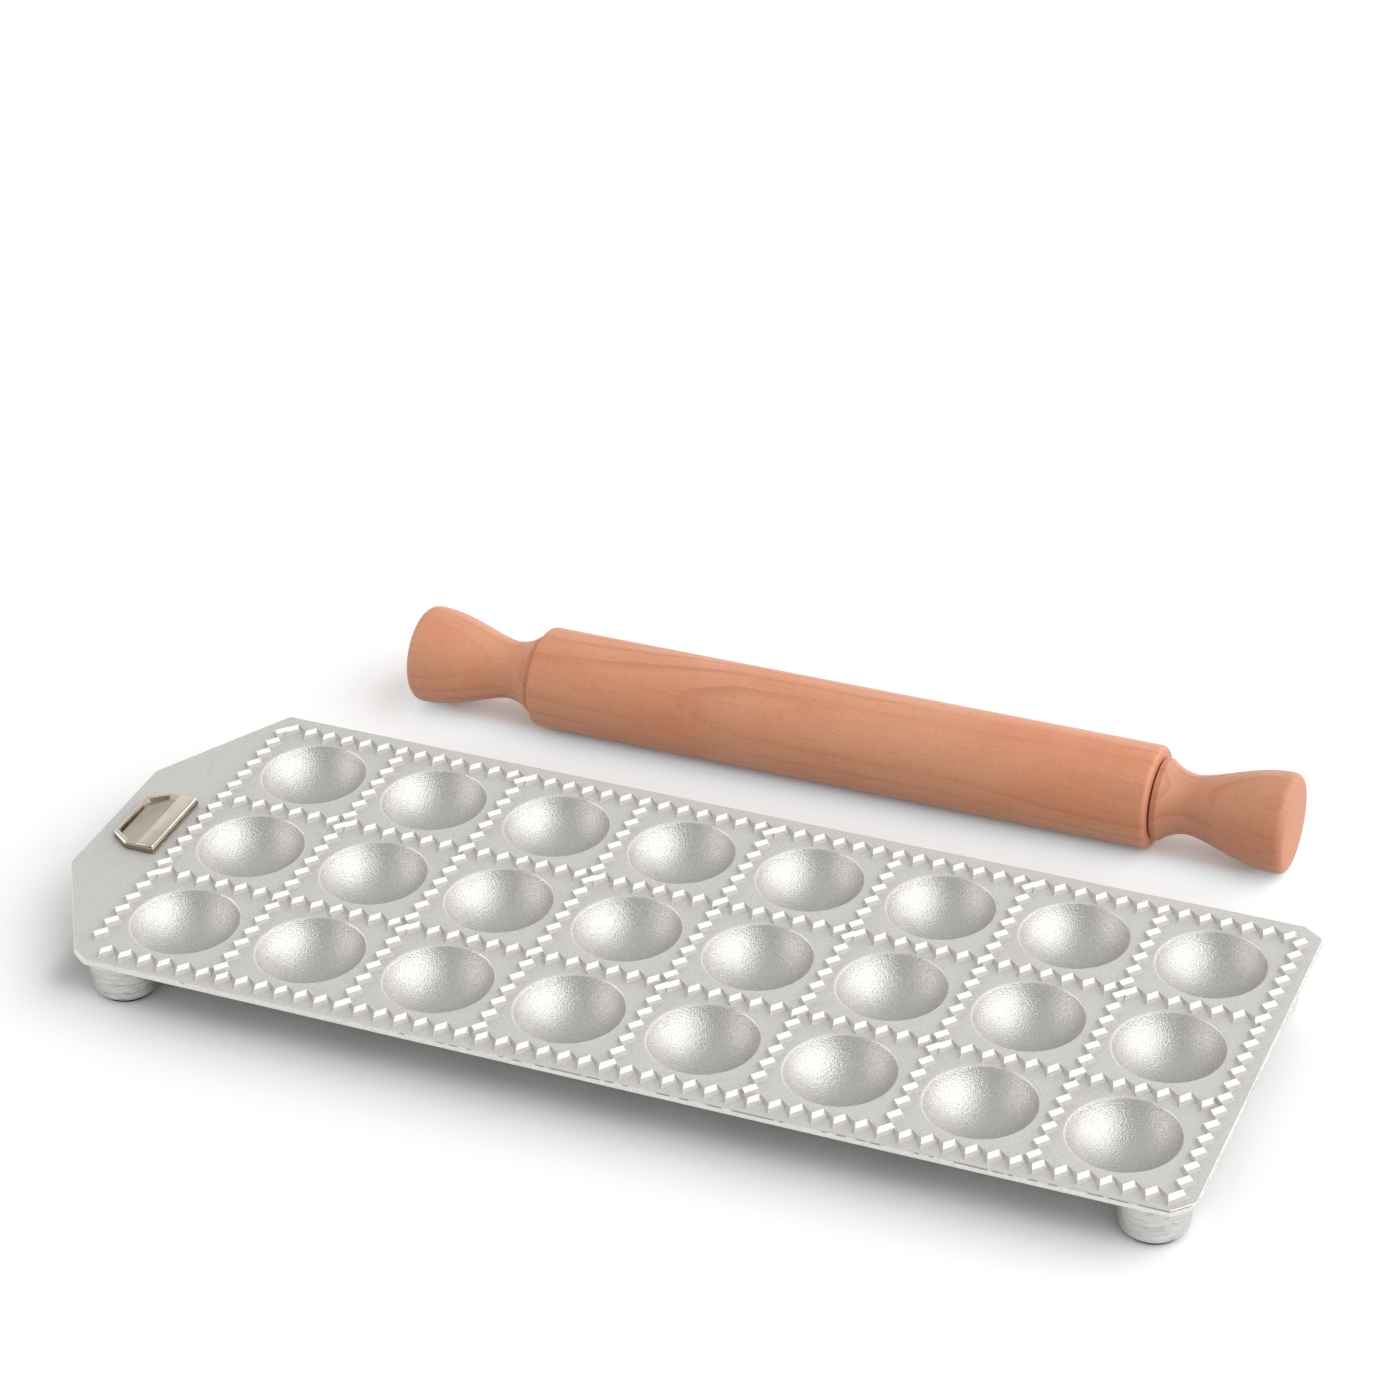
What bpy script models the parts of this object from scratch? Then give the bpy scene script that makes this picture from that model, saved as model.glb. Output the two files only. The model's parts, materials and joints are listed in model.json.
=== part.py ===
"""Ravioli mould with its rolling pin: a cast tray of pockets framed by zigzag ridges, and a pin that lies behind it.

Metres, +Z up. The origin is the middle of the set's footprint, on the table that the tray and the pin stand on.
The tray's long side lies along X and the badge tongue points to -X.
"""

import math

import bmesh
import bpy
from mathutils import Vector

# Pocket field
CELL = 0.038
COLUMNS = 8
ROWS = 3
POCKET_RADIUS = 0.01495
POCKET_DEPTH = 0.0100
POCKET_WALL = 0.0022

# Tray outline
MARGIN = 0.0058
TONGUE_LENGTH = 0.0245
TONGUE_END_WIDTH = 0.0482
TONGUE_RUN = 0.0230
BACK_CORNER_CUT_X = 0.0059
BACK_CORNER_CUT_Y = 0.0040
FRONT_CORNER_CUT = 0.0053
LEFT_CORNER_CUT = 0.0030
PLATE_THICKNESS = 0.0022
PLATE_EDGE_ROUND = 0.0004

# Zigzag ridges
TEETH_PER_CELL = 6.5
RIDGE_RISE = 0.0011
RIDGE_SINK = 0.0006
COLUMN_RIDGE_SINK = 0.0008
RIDGE_SPREAD = 0.0011
RIDGE_SHIFT_X = 0.0007
RIDGE_SHIFT_Y = -0.0011
TOOTH_THICKNESS = 0.0024
ROW_TOOTH_LENGTH = 0.0036
ROW_TOOTH_LEAN = math.radians(48.0)
ROW_TOOTH_CUT = math.radians(71.5)
ROW_PHASE = -0.10
COLUMN_TOOTH_LENGTH = 0.0039
COLUMN_TOOTH_LEAN = math.radians(48.7)
COLUMN_TOOTH_CUT = math.radians(49.6)
COLUMN_PHASE = 0.15

# Feet
TRAY_HEIGHT = 0.0185
FOOT_TOP_RADIUS = 0.0105
FOOT_BOTTOM_RADIUS = 0.0092
FOOT_EDGE_ROUND = 0.0018
FOOT_FROM_RIGHT = 0.0131
FOOT_FROM_LEFT = 0.03015
FOOT_FROM_SIDE = 0.0138
FOOT_SIDES = 24
PAD_RADIUS = 0.0066
PAD_THICKNESS = 0.0016
PAD_SHOWING = 0.0009
PAD_EDGE_ROUND = 0.0003
PAD_CLEARANCE = 0.0003

# Badge
BADGE_LENGTH = 0.0265
BADGE_WIDTH = 0.0150
BADGE_THICKNESS = 0.0022
BADGE_CUT_X = 0.0060
BADGE_CUT_Y = 0.0042
BADGE_BEVEL = 0.0007
BADGE_FROM_LEFT = 0.0125
BADGE_CLEARANCE = 0.0003
BADGE_PEG_RADIUS = 0.0012
BADGE_PEG_SPACING = 0.0180
BADGE_PEG_LENGTH = 0.0015

# Rolling pin
BARREL_RADIUS = 0.01487
BARREL_LENGTH = 0.1898
BARREL_END_ROUND = 0.0016
BARREL_SIDES = 32
PIN_GAP = 0.0340
PIN_OFFSET_X = 0.0101
SEAM = 0.0005
HANDLE_LENGTH = 0.0395
HANDLE_COLLAR_RADIUS = 0.0117
HANDLE_COLLAR_LENGTH = 0.0012
HANDLE_NECK_RADIUS = 0.00865
HANDLE_NECK_AT = 0.0105
HANDLE_BULB_RADIUS = 0.01445
HANDLE_BULB_AT = 0.0368
HANDLE_END_ROUND = 0.0024
HANDLE_SIDES = 20
COVE_POWER = 1.7
SWELL_POWER = 1.4
AXLE_RADIUS = 0.0030
AXLE_INTO_HANDLE = 0.0250
AXLE_SEAT_CLEARANCE = 0.0003
BUSH_RADIUS = 0.0055
BUSH_LENGTH = 0.0140
BUSH_SEAT_CLEARANCE = 0.0002
BUSH_RUNNING_CLEARANCE = 0.0002
BORE_RELIEF = 0.0010

# Facets and overlaps
BOWL_SIDES = 16
BOWL_RINGS = 3
DOME_SIDES = 12
DOME_RINGS = 2
ROUND_STEPS = 2
CURVE_STEPS = 6
OVERLAP = 0.0008
CUTTER_RISE = 0.0030
MERGE = 0.00001
SMOOTH_ANGLE = math.radians(35.0)

# Places worked out from the sizes above
FIELD_LENGTH = COLUMNS * CELL
FIELD_WIDTH = ROWS * CELL
TRAY_LENGTH = TONGUE_LENGTH + FIELD_LENGTH + MARGIN
TRAY_WIDTH = FIELD_WIDTH + 2 * MARGIN
SET_DEPTH = TRAY_WIDTH + PIN_GAP + 2 * BARREL_RADIUS
TRAY_LEFT = -TRAY_LENGTH / 2
TRAY_RIGHT = TRAY_LENGTH / 2
TRAY_FRONT = -SET_DEPTH / 2
TRAY_MIDDLE_Y = TRAY_FRONT + TRAY_WIDTH / 2
PLATE_TOP = TRAY_HEIGHT - RIDGE_RISE
PLATE_BOTTOM = PLATE_TOP - PLATE_THICKNESS
FIELD_LEFT = TRAY_LEFT + TONGUE_LENGTH
FIELD_FRONT = TRAY_FRONT + MARGIN
TOOTH_PITCH = CELL / TEETH_PER_CELL
BOWL_SPHERE = (POCKET_RADIUS**2 + POCKET_DEPTH**2) / (2 * POCKET_DEPTH)
BOWL_CENTRE = PLATE_TOP - POCKET_DEPTH + BOWL_SPHERE
PIN_Y = TRAY_FRONT + SET_DEPTH - BARREL_RADIUS
PIN_CENTRE = Vector((PIN_OFFSET_X, PIN_Y, BARREL_RADIUS))
BADGE_BOTTOM = PLATE_TOP + BADGE_CLEARANCE


def clear_scene():
    """Remove every object that the scene starts with."""
    for obj in list(bpy.data.objects):
        bpy.data.objects.remove(obj, do_unlink=True)


def make_collection(name):
    """Add a collection to the scene."""
    collection = bpy.data.collections.new(name)
    bpy.context.scene.collection.children.link(collection)
    return collection


def make_material(name, colour, roughness, metallic=0.0):
    """Make a Principled material of one colour."""
    material = bpy.data.materials.new(name)
    material.use_nodes = True
    shader = material.node_tree.nodes["Principled BSDF"]
    shader.inputs["Base Color"].default_value = (*colour, 1.0)
    shader.inputs["Roughness"].default_value = roughness
    shader.inputs["Metallic"].default_value = metallic
    return material


def add_object(name, mesh, collection, location=(0, 0, 0), material=None):
    """Wrap a mesh in an object of the given collection."""
    obj = bpy.data.objects.new(name, mesh)
    obj.location = location
    if material and not mesh.materials:
        mesh.materials.append(material)
    collection.objects.link(obj)
    return obj


def as_cutter(obj):
    """Keep a helper out of the render and show it as wire."""
    obj.hide_render = True
    obj.display_type = "WIRE"
    return obj


def smooth(obj):
    """Shade the round faces smooth and keep the edges sharp."""
    obj.data.shade_smooth()
    obj.data.set_sharp_from_angle(angle=SMOOTH_ANGLE)


def bevel(obj, width, segments, angle=math.radians(40.0)):
    """Round the edges that are sharper than the angle."""
    modifier = obj.modifiers.new("edge_round", "BEVEL")
    modifier.width = width
    modifier.segments = segments
    modifier.limit_method = "ANGLE"
    modifier.angle_limit = angle
    return modifier


def boolean(obj, operation, collection):
    """Join or cut an object with all that a collection holds."""
    modifier = obj.modifiers.new(operation.lower(), "BOOLEAN")
    modifier.operation = operation
    modifier.operand_type = "COLLECTION"
    modifier.collection = collection
    modifier.solver = "EXACT"
    return modifier


def turned_mesh(name, profile, sides):
    """Turn a profile of (radius, height) points, listed top to bottom, round the Z axis."""
    mesh = bpy.data.meshes.new(name)
    points = [(radius, 0.0, height) for radius, height in profile]
    mesh.from_pydata(points, [(i, i + 1) for i in range(len(points) - 1)], [])
    guide = bpy.data.objects.new(name + "_profile", mesh)
    bpy.context.scene.collection.objects.link(guide)
    screw = guide.modifiers.new("turn", "SCREW")
    screw.axis = "Z"
    screw.steps = sides
    screw.render_steps = sides
    screw.use_merge_vertices = True
    screw.merge_threshold = MERGE
    turned = bpy.data.meshes.new_from_object(guide.evaluated_get(bpy.context.evaluated_depsgraph_get()))
    bpy.data.objects.remove(guide, do_unlink=True)
    turned.name = name
    return turned


def flat_mesh(name, outline, thickness):
    """Make a flat plate from a closed outline, centred on its own thickness."""
    curve = bpy.data.curves.new(name, "CURVE")
    curve.dimensions = "2D"
    curve.fill_mode = "BOTH"
    curve.extrude = thickness / 2
    spline = curve.splines.new("POLY")
    spline.points.add(len(outline) - 1)
    for point, (x, y) in zip(spline.points, outline):
        point.co = (x, y, 0.0, 1.0)
    spline.use_cyclic_u = True
    guide = bpy.data.objects.new(name + "_outline", curve)
    bpy.context.scene.collection.objects.link(guide)
    mesh = bpy.data.meshes.new_from_object(guide.evaluated_get(bpy.context.evaluated_depsgraph_get()))
    bpy.data.objects.remove(guide, do_unlink=True)
    welded = bmesh.new()
    welded.from_mesh(mesh)
    bmesh.ops.remove_doubles(welded, verts=welded.verts, dist=MERGE)
    bmesh.ops.dissolve_limit(
        welded, angle_limit=math.radians(1.0), verts=welded.verts, edges=welded.edges, use_dissolve_boundaries=False
    )
    bmesh.ops.recalc_face_normals(welded, faces=welded.faces)
    welded.to_mesh(mesh)
    welded.free()
    return mesh


def quarter_round(radius, edge, top, steps, upper=True):
    """Points of a quarter round at an outer edge, listed downwards."""
    points = []
    for i in range(steps + 1):
        angle = math.pi / 2 * i / steps
        if upper:
            points.append((edge - radius + radius * math.sin(angle), top - radius + radius * math.cos(angle)))
        else:
            points.append((edge - radius + radius * math.cos(angle), top + radius - radius * math.sin(angle)))
    return points


def tray_outline():
    """The tray's edge, anticlockwise from the front of the tongue's end."""
    front, back = TRAY_FRONT, TRAY_FRONT + TRAY_WIDTH
    shoulder = TRAY_LEFT + TONGUE_RUN
    half_end = TONGUE_END_WIDTH / 2
    return [
        (TRAY_LEFT, TRAY_MIDDLE_Y - half_end),
        (shoulder - LEFT_CORNER_CUT / 2, front + LEFT_CORNER_CUT),
        (shoulder + LEFT_CORNER_CUT, front),
        (TRAY_RIGHT - FRONT_CORNER_CUT, front),
        (TRAY_RIGHT, front + FRONT_CORNER_CUT),
        (TRAY_RIGHT, back - BACK_CORNER_CUT_Y),
        (TRAY_RIGHT - BACK_CORNER_CUT_X, back),
        (shoulder, back),
        (TRAY_LEFT, TRAY_MIDDLE_Y + half_end),
    ]


def pocket_centres():
    """The middle of each pocket, row by row from the front."""
    return [
        (FIELD_LEFT + (column + 0.5) * CELL, FIELD_FRONT + (row + 0.5) * CELL)
        for row in range(ROWS)
        for column in range(COLUMNS)
    ]


def foot_centres():
    """The four feet by name."""
    front = TRAY_FRONT + FOOT_FROM_SIDE
    back = TRAY_FRONT + TRAY_WIDTH - FOOT_FROM_SIDE
    left = TRAY_LEFT + FOOT_FROM_LEFT
    right = TRAY_RIGHT - FOOT_FROM_RIGHT
    return {
        "front_left": (left, front),
        "front_right": (right, front),
        "back_left": (left, back),
        "back_right": (right, back),
    }


def bowl_profile():
    """The spherical inside of a pocket, open above the ridges."""
    points = [(0.0, PLATE_TOP + CUTTER_RISE), (POCKET_RADIUS, PLATE_TOP + CUTTER_RISE)]
    rim = math.asin(POCKET_RADIUS / BOWL_SPHERE)
    for i in range(BOWL_RINGS + 1):
        angle = rim * (1 - i / BOWL_RINGS)
        points.append((BOWL_SPHERE * math.sin(angle), BOWL_CENTRE - BOWL_SPHERE * math.cos(angle)))
    return points


def dome_profile():
    """The outside of a pocket, which shows as a dome under the plate."""
    outer = BOWL_SPHERE + POCKET_WALL
    top = PLATE_BOTTOM + OVERLAP
    rim = math.acos((BOWL_CENTRE - top) / outer)
    points = [(0.0, top)]
    for i in range(DOME_RINGS + 1):
        angle = rim * (1 - i / DOME_RINGS)
        points.append((outer * math.sin(angle), BOWL_CENTRE - outer * math.cos(angle)))
    return points


def boss_profile():
    """A foot: a cone under the plate with a rounded lower edge."""
    top = PLATE_BOTTOM + OVERLAP
    points = [(0.0, top), (FOOT_TOP_RADIUS, top)]
    points += quarter_round(FOOT_EDGE_ROUND, FOOT_BOTTOM_RADIUS, PAD_SHOWING, ROUND_STEPS, upper=False)
    return points + [(0.0, PAD_SHOWING)]


def line_offset(start, end, distance):
    """A point and a direction of the line through two points, moved to its right by a distance."""
    along = (end - start).normalized()
    return start + distance * Vector((along.y, -along.x)), along


def crossing(first, second):
    """Where two lines, each a point and a direction, cross."""
    (point, along), (other, across) = first, second
    turn = along.x * across.y - along.y * across.x
    gap = other - point
    return point + along * ((gap.x * across.y - gap.y * across.x) / turn)


def tooth_corners(length, lean, cut):
    """The corners A, B, C and D of a milled tooth top: back left, back right, front right and front left."""
    along = Vector((math.cos(lean), math.sin(lean))) * length / 2
    across = Vector((math.cos(cut), -math.sin(cut))) * TOOTH_THICKNESS / math.sin(lean + cut) / 2
    return -along - across, along - across, along + across, -along + across


def ridge_mesh(name, first, count, corners, crest_corner, sink):
    """One zigzag ridge along +X, with a root that goes into the plate.

    Each tooth has a flat milled top ABCD and sloping flanks that meet the plate at a, b, c and d. A sharp crest
    runs from one corner of a tooth to the left corner A of the next one. The flanks of both meet in a valley at c.
    """
    step = Vector((TOOTH_PITCH, 0.0))
    a, b, c, d = corners
    start = b if crest_corner == "B" else c
    back = line_offset(b, a, RIDGE_SPREAD)
    front = line_offset(d, c, RIDGE_SPREAD)
    left = line_offset(a, d, RIDGE_SPREAD)
    right = line_offset(c, b, RIDGE_SPREAD)
    crest_back = line_offset(a + step, b, RIDGE_SPREAD)
    crest_front = line_offset(start, a + step, RIDGE_SPREAD)
    ahead = (d, Vector((0.0, 1.0)))
    tooth = {
        "A": a,
        "B": b,
        "C": c,
        "D": d,
        "a": crossing((crest_back[0] - step, crest_back[1]), back),
        "b": crossing(crest_back, back),
        "c": crossing(front, crest_front),
        "d": crossing(ahead, front),
    }
    first_end = {"a": crossing(left, back), "d": crossing(left, front)}
    last_end = {"b": crossing(right, back), "c": crossing(right, front)}
    form = bmesh.new()
    teeth = []
    for i in range(count):
        places = dict(tooth)
        if i == 0:
            places.update(first_end)
        if i == count - 1:
            places.update(last_end)
        verts = {}
        for key, point in places.items():
            height = PLATE_TOP + RIDGE_RISE if key.isupper() else PLATE_TOP
            verts[key] = form.verts.new((point.x + (first + i) * TOOTH_PITCH, point.y, height))
        teeth.append(verts)
    for t in teeth:
        form.faces.new((t["A"], t["B"], t["C"], t["D"]))
        form.faces.new((t["B"], t["A"], t["a"], t["b"]))
        form.faces.new((t["D"], t["C"], t["c"], t["d"]))
    form.faces.new((teeth[0]["A"], teeth[0]["D"], teeth[0]["d"], teeth[0]["a"]))
    form.faces.new((teeth[-1]["C"], teeth[-1]["B"], teeth[-1]["b"], teeth[-1]["c"]))
    for t, n in zip(teeth, teeth[1:]):
        crest = t[crest_corner]
        form.faces.new((t["B"], t["C"], t["c" if crest_corner == "B" else "b"]))
        form.faces.new((crest, n["A"], n["a"]))
        form.faces.new((crest, n["a"], t["b"]))
        form.faces.new((crest, t["c"], n["A"]))
        form.faces.new((n["A"], t["c"], n["d"]))
        form.faces.new((n["A"], n["d"], n["D"]))
    rim = [edge for edge in form.edges if edge.is_boundary]
    root = bmesh.ops.extrude_edge_only(form, edges=rim)["geom"]
    bmesh.ops.translate(form, vec=(0, 0, -sink), verts=[item for item in root if isinstance(item, bmesh.types.BMVert)])
    bmesh.ops.contextual_create(form, geom=[item for item in root if isinstance(item, bmesh.types.BMEdge)])
    bmesh.ops.recalc_face_normals(form, faces=form.faces)
    mesh = bpy.data.meshes.new(name)
    form.to_mesh(mesh)
    form.free()
    return mesh


def swap_xy(mesh):
    """Mirror a mesh in the diagonal, so that a ridge along X becomes one along Y that leans the same way."""
    form = bmesh.new()
    form.from_mesh(mesh)
    for vert in form.verts:
        vert.co.x, vert.co.y = vert.co.y, vert.co.x
    bmesh.ops.recalc_face_normals(form, faces=form.faces)
    form.to_mesh(mesh)
    form.free()
    return mesh


def add_ridges(collection):
    """Lay a ridge on each row line and each column line. The teeth step by half a pitch from line to line."""
    field = Vector((FIELD_LEFT + RIDGE_SHIFT_X, FIELD_FRONT + RIDGE_SHIFT_Y, 0.0))
    row_corners = tooth_corners(ROW_TOOTH_LENGTH, ROW_TOOTH_LEAN, ROW_TOOTH_CUT)
    for line in range(ROWS + 1):
        odd = line % 2
        skipped = 1 - odd
        first = ROW_PHASE + odd / 2 + skipped
        count = int(COLUMNS * TEETH_PER_CELL)
        name = f"row_ridge_{line}"
        mesh = ridge_mesh(name, first, count, row_corners, "B", RIDGE_SINK)
        add_object(name, mesh, collection, field + Vector((0.0, line * CELL, 0.0)))
    a, b, c, d = tooth_corners(COLUMN_TOOTH_LENGTH, COLUMN_TOOTH_LEAN, COLUMN_TOOTH_CUT)
    column_corners = [Vector((point.y, point.x)) for point in (d, c, b, a)]
    for line in range(COLUMNS + 1):
        odd = line % 2
        skipped = 1 if line == 0 else 0
        first = COLUMN_PHASE + odd / 2 + skipped
        count = int(ROWS * TEETH_PER_CELL) + 1 - odd - skipped
        name = f"column_ridge_{line}"
        mesh = swap_xy(ridge_mesh(name, first, count, column_corners, "C", COLUMN_RIDGE_SINK))
        add_object(name, mesh, collection, field + Vector((line * CELL, 0.0, 0.0)))


def add_casting(parts, joined, cut, material):
    """The tray itself: plate, ridges, pocket domes and foot bosses in one casting, with the pockets cut last."""
    mesh = flat_mesh("mould_casting", tray_outline(), PLATE_THICKNESS)
    casting = add_object("mould_casting", mesh, parts, (0, 0, PLATE_TOP - PLATE_THICKNESS / 2), material)
    bevel(casting, PLATE_EDGE_ROUND, 2)
    dome = turned_mesh("dome", dome_profile(), DOME_SIDES)
    bowl = turned_mesh("bowl", bowl_profile(), BOWL_SIDES)
    for i, (x, y) in enumerate(pocket_centres()):
        as_cutter(add_object(f"dome_{i}", dome, joined, (x, y, 0)))
        as_cutter(add_object(f"bowl_{i}", bowl, cut, (x, y, 0)))
    boss = turned_mesh("boss", boss_profile(), FOOT_SIDES)
    seat_depth = PAD_THICKNESS - PAD_SHOWING + PAD_CLEARANCE
    for name, (x, y) in foot_centres().items():
        as_cutter(add_object(f"boss_{name}", boss, joined, (x, y, 0)))
        seat = bmesh.new()
        bmesh.ops.create_cone(
            seat,
            cap_ends=True,
            segments=FOOT_SIDES,
            radius1=PAD_RADIUS + PAD_CLEARANCE,
            radius2=PAD_RADIUS + PAD_CLEARANCE,
            depth=2 * seat_depth,
        )
        seat_mesh = bpy.data.meshes.new(f"pad_seat_{name}")
        seat.to_mesh(seat_mesh)
        seat.free()
        as_cutter(add_object(f"pad_seat_{name}", seat_mesh, cut, (x, y, PAD_SHOWING)))
    for side in (-1, 1):
        hole = bmesh.new()
        bmesh.ops.create_cone(
            hole,
            cap_ends=True,
            segments=12,
            radius1=BADGE_PEG_RADIUS + BADGE_CLEARANCE,
            radius2=BADGE_PEG_RADIUS + BADGE_CLEARANCE,
            depth=4 * PLATE_THICKNESS,
        )
        hole_mesh = bpy.data.meshes.new("badge_hole")
        hole.to_mesh(hole_mesh)
        hole.free()
        place = (TRAY_LEFT + BADGE_FROM_LEFT, TRAY_MIDDLE_Y + side * BADGE_PEG_SPACING / 2, PLATE_TOP)
        as_cutter(add_object(f"badge_hole_{side}", hole_mesh, cut, place))
    add_ridges(joined)
    for obj in joined.objects:
        as_cutter(obj)
    boolean(casting, "UNION", joined)
    boolean(casting, "DIFFERENCE", cut)
    return casting


def add_pads(parts, material):
    """A rubber pad let into the underside of each foot."""
    profile = [(0.0, PAD_THICKNESS), (PAD_RADIUS, PAD_THICKNESS)]
    profile += quarter_round(PAD_EDGE_ROUND, PAD_RADIUS, 0.0, 1, upper=False) + [(0.0, 0.0)]
    pad = turned_mesh("foot_pad", profile, FOOT_SIDES)
    for name, (x, y) in foot_centres().items():
        smooth(add_object(f"foot_pad_{name}", pad, parts, (x, y, 0), material))


def badge_outline():
    """The badge's edge about its own middle. The two corners at the tongue's end are cut off."""
    half_width, half_length = BADGE_WIDTH / 2, BADGE_LENGTH / 2
    return [
        (-half_width, -half_length + BADGE_CUT_Y),
        (-half_width + BADGE_CUT_X, -half_length),
        (half_width, -half_length),
        (half_width, half_length),
        (-half_width + BADGE_CUT_X, half_length),
        (-half_width, half_length - BADGE_CUT_Y),
    ]


def add_badge(parts, joined, material):
    """A bare bevelled badge on the tongue, held by two pegs that pass into the plate."""
    mesh = flat_mesh("badge", badge_outline(), BADGE_THICKNESS)
    form = bmesh.new()
    form.from_mesh(mesh)
    rim = [edge for edge in form.edges if min(vert.co.z for vert in edge.verts) > 0]
    bmesh.ops.bevel(form, geom=rim, offset=BADGE_BEVEL, segments=1, affect="EDGES")
    form.to_mesh(mesh)
    form.free()
    middle = (TRAY_LEFT + BADGE_FROM_LEFT, TRAY_MIDDLE_Y, BADGE_BOTTOM + BADGE_THICKNESS / 2)
    badge = add_object("badge", mesh, parts, middle, material)
    for side in (-1, 1):
        peg = bmesh.new()
        length = BADGE_PEG_LENGTH + BADGE_CLEARANCE + BADGE_THICKNESS / 2
        bmesh.ops.create_cone(
            peg, cap_ends=True, segments=12, radius1=BADGE_PEG_RADIUS, radius2=BADGE_PEG_RADIUS, depth=length
        )
        peg_mesh = bpy.data.meshes.new("badge_peg")
        peg.to_mesh(peg_mesh)
        peg.free()
        place = (middle[0], middle[1] + side * BADGE_PEG_SPACING / 2, middle[2] - length / 2)
        as_cutter(add_object(f"badge_peg_{side}", peg_mesh, joined, place))
    boolean(badge, "UNION", joined)
    return badge


def barrel_profile():
    """The barrel about its own axis: outer side from top to bottom, then the bore back up."""
    half = BARREL_LENGTH / 2
    seat = BUSH_RADIUS + BUSH_SEAT_CLEARANCE
    floor = half - BUSH_LENGTH - BUSH_SEAT_CLEARANCE
    bore = AXLE_RADIUS + BORE_RELIEF
    points = quarter_round(BARREL_END_ROUND, BARREL_RADIUS, half, ROUND_STEPS)
    points += quarter_round(BARREL_END_ROUND, BARREL_RADIUS, -half, ROUND_STEPS, upper=False)
    points += [(seat, -half), (seat, -floor), (bore, -floor), (bore, floor), (seat, floor), (seat, half)]
    return points + [points[0]]


def handle_profile():
    """A handle standing on its collar at height 0: bulb on top, neck, cove and collar, then the blind bore."""
    top = HANDLE_LENGTH
    points = [(0.0, top)]
    for i in range(ROUND_STEPS + 1):
        angle = math.pi / 2 * i / ROUND_STEPS
        drop = (HANDLE_LENGTH - HANDLE_BULB_AT) * (1 - math.cos(angle))
        points.append((HANDLE_BULB_RADIUS - HANDLE_END_ROUND * (1 - math.sin(angle)), top - drop))
    for i in range(1, CURVE_STEPS + 1):
        share = 1 - i / CURVE_STEPS
        swell = math.sin(math.pi / 2 * share) ** SWELL_POWER
        radius = HANDLE_NECK_RADIUS + (HANDLE_BULB_RADIUS - HANDLE_NECK_RADIUS) * swell
        points.append((radius, HANDLE_NECK_AT + (HANDLE_BULB_AT - HANDLE_NECK_AT) * share))
    cove_steps = CURVE_STEPS // 2 + 1
    for i in range(1, cove_steps + 1):
        share = i / cove_steps
        radius = HANDLE_NECK_RADIUS + (HANDLE_COLLAR_RADIUS - HANDLE_NECK_RADIUS) * share**COVE_POWER
        points.append((radius, HANDLE_NECK_AT - (HANDLE_NECK_AT - HANDLE_COLLAR_LENGTH) * share))
    bore = AXLE_RADIUS + AXLE_SEAT_CLEARANCE
    points += [(HANDLE_COLLAR_RADIUS, SEAM), (bore, SEAM), (bore, AXLE_INTO_HANDLE + AXLE_SEAT_CLEARANCE)]
    return points + [(0.0, AXLE_INTO_HANDLE + AXLE_SEAT_CLEARANCE)]


def add_pin(parts, wood, steel, nylon):
    """The rolling pin: a barrel that turns on a rod in two bushes, and a handle fixed on each end of the rod."""
    along_x = (0.0, math.pi / 2, 0.0)
    axis = bpy.data.objects.new("pin_axis", None)
    axis.location = PIN_CENTRE
    axis.rotation_euler = along_x
    parts.objects.link(axis)

    def hang(obj, height=0.0, turned=False):
        obj.parent = axis
        obj.location = (0.0, 0.0, height)
        if turned:
            obj.rotation_euler = (math.pi, 0.0, 0.0)
        smooth(obj)

    hang(add_object("pin_barrel", turned_mesh("pin_barrel", barrel_profile(), BARREL_SIDES), parts, material=wood))
    half = BARREL_LENGTH / 2
    handle = turned_mesh("pin_handle", handle_profile(), HANDLE_SIDES)
    hang(add_object("pin_handle_right", handle, parts, material=wood), half)
    hang(add_object("pin_handle_left", handle, parts, material=wood), -half, turned=True)
    rod_half = half + AXLE_INTO_HANDLE
    rod_profile = [(0.0, rod_half), (AXLE_RADIUS, rod_half), (AXLE_RADIUS, -rod_half), (0.0, -rod_half)]
    rod = turned_mesh("pin_axle", rod_profile, FOOT_SIDES)
    hang(add_object("pin_axle", rod, parts, material=steel))
    inner = AXLE_RADIUS + BUSH_RUNNING_CLEARANCE
    bush_profile = [(BUSH_RADIUS, 0.0), (BUSH_RADIUS, -BUSH_LENGTH), (inner, -BUSH_LENGTH), (inner, 0.0)]
    bush = turned_mesh("pin_bush", bush_profile + bush_profile[:1], FOOT_SIDES)
    hang(add_object("pin_bush_right", bush, parts, material=nylon), half)
    hang(add_object("pin_bush_left", bush, parts, material=nylon), -half, turned=True)


def main():
    clear_scene()
    parts = make_collection("ravioli_mould")
    joined = make_collection("casting_forms")
    cut = make_collection("casting_cutters")
    badge_forms = make_collection("badge_forms")
    aluminium = make_material("cast_aluminium", (0.66, 0.65, 0.62), 0.42, 1.0)
    nickel = make_material("badge_nickel", (0.72, 0.66, 0.58), 0.28, 1.0)
    rubber = make_material("pad_rubber", (0.02, 0.02, 0.02), 0.75)
    beech = make_material("beech", (0.72, 0.40, 0.25), 0.50)
    steel = make_material("rod_steel", (0.60, 0.60, 0.60), 0.30, 1.0)
    nylon = make_material("bush_nylon", (0.80, 0.79, 0.74), 0.45)
    smooth(add_casting(parts, joined, cut, aluminium))
    add_pads(parts, rubber)
    add_badge(parts, badge_forms, nickel)
    add_pin(parts, beech, steel, nylon)


main()
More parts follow.
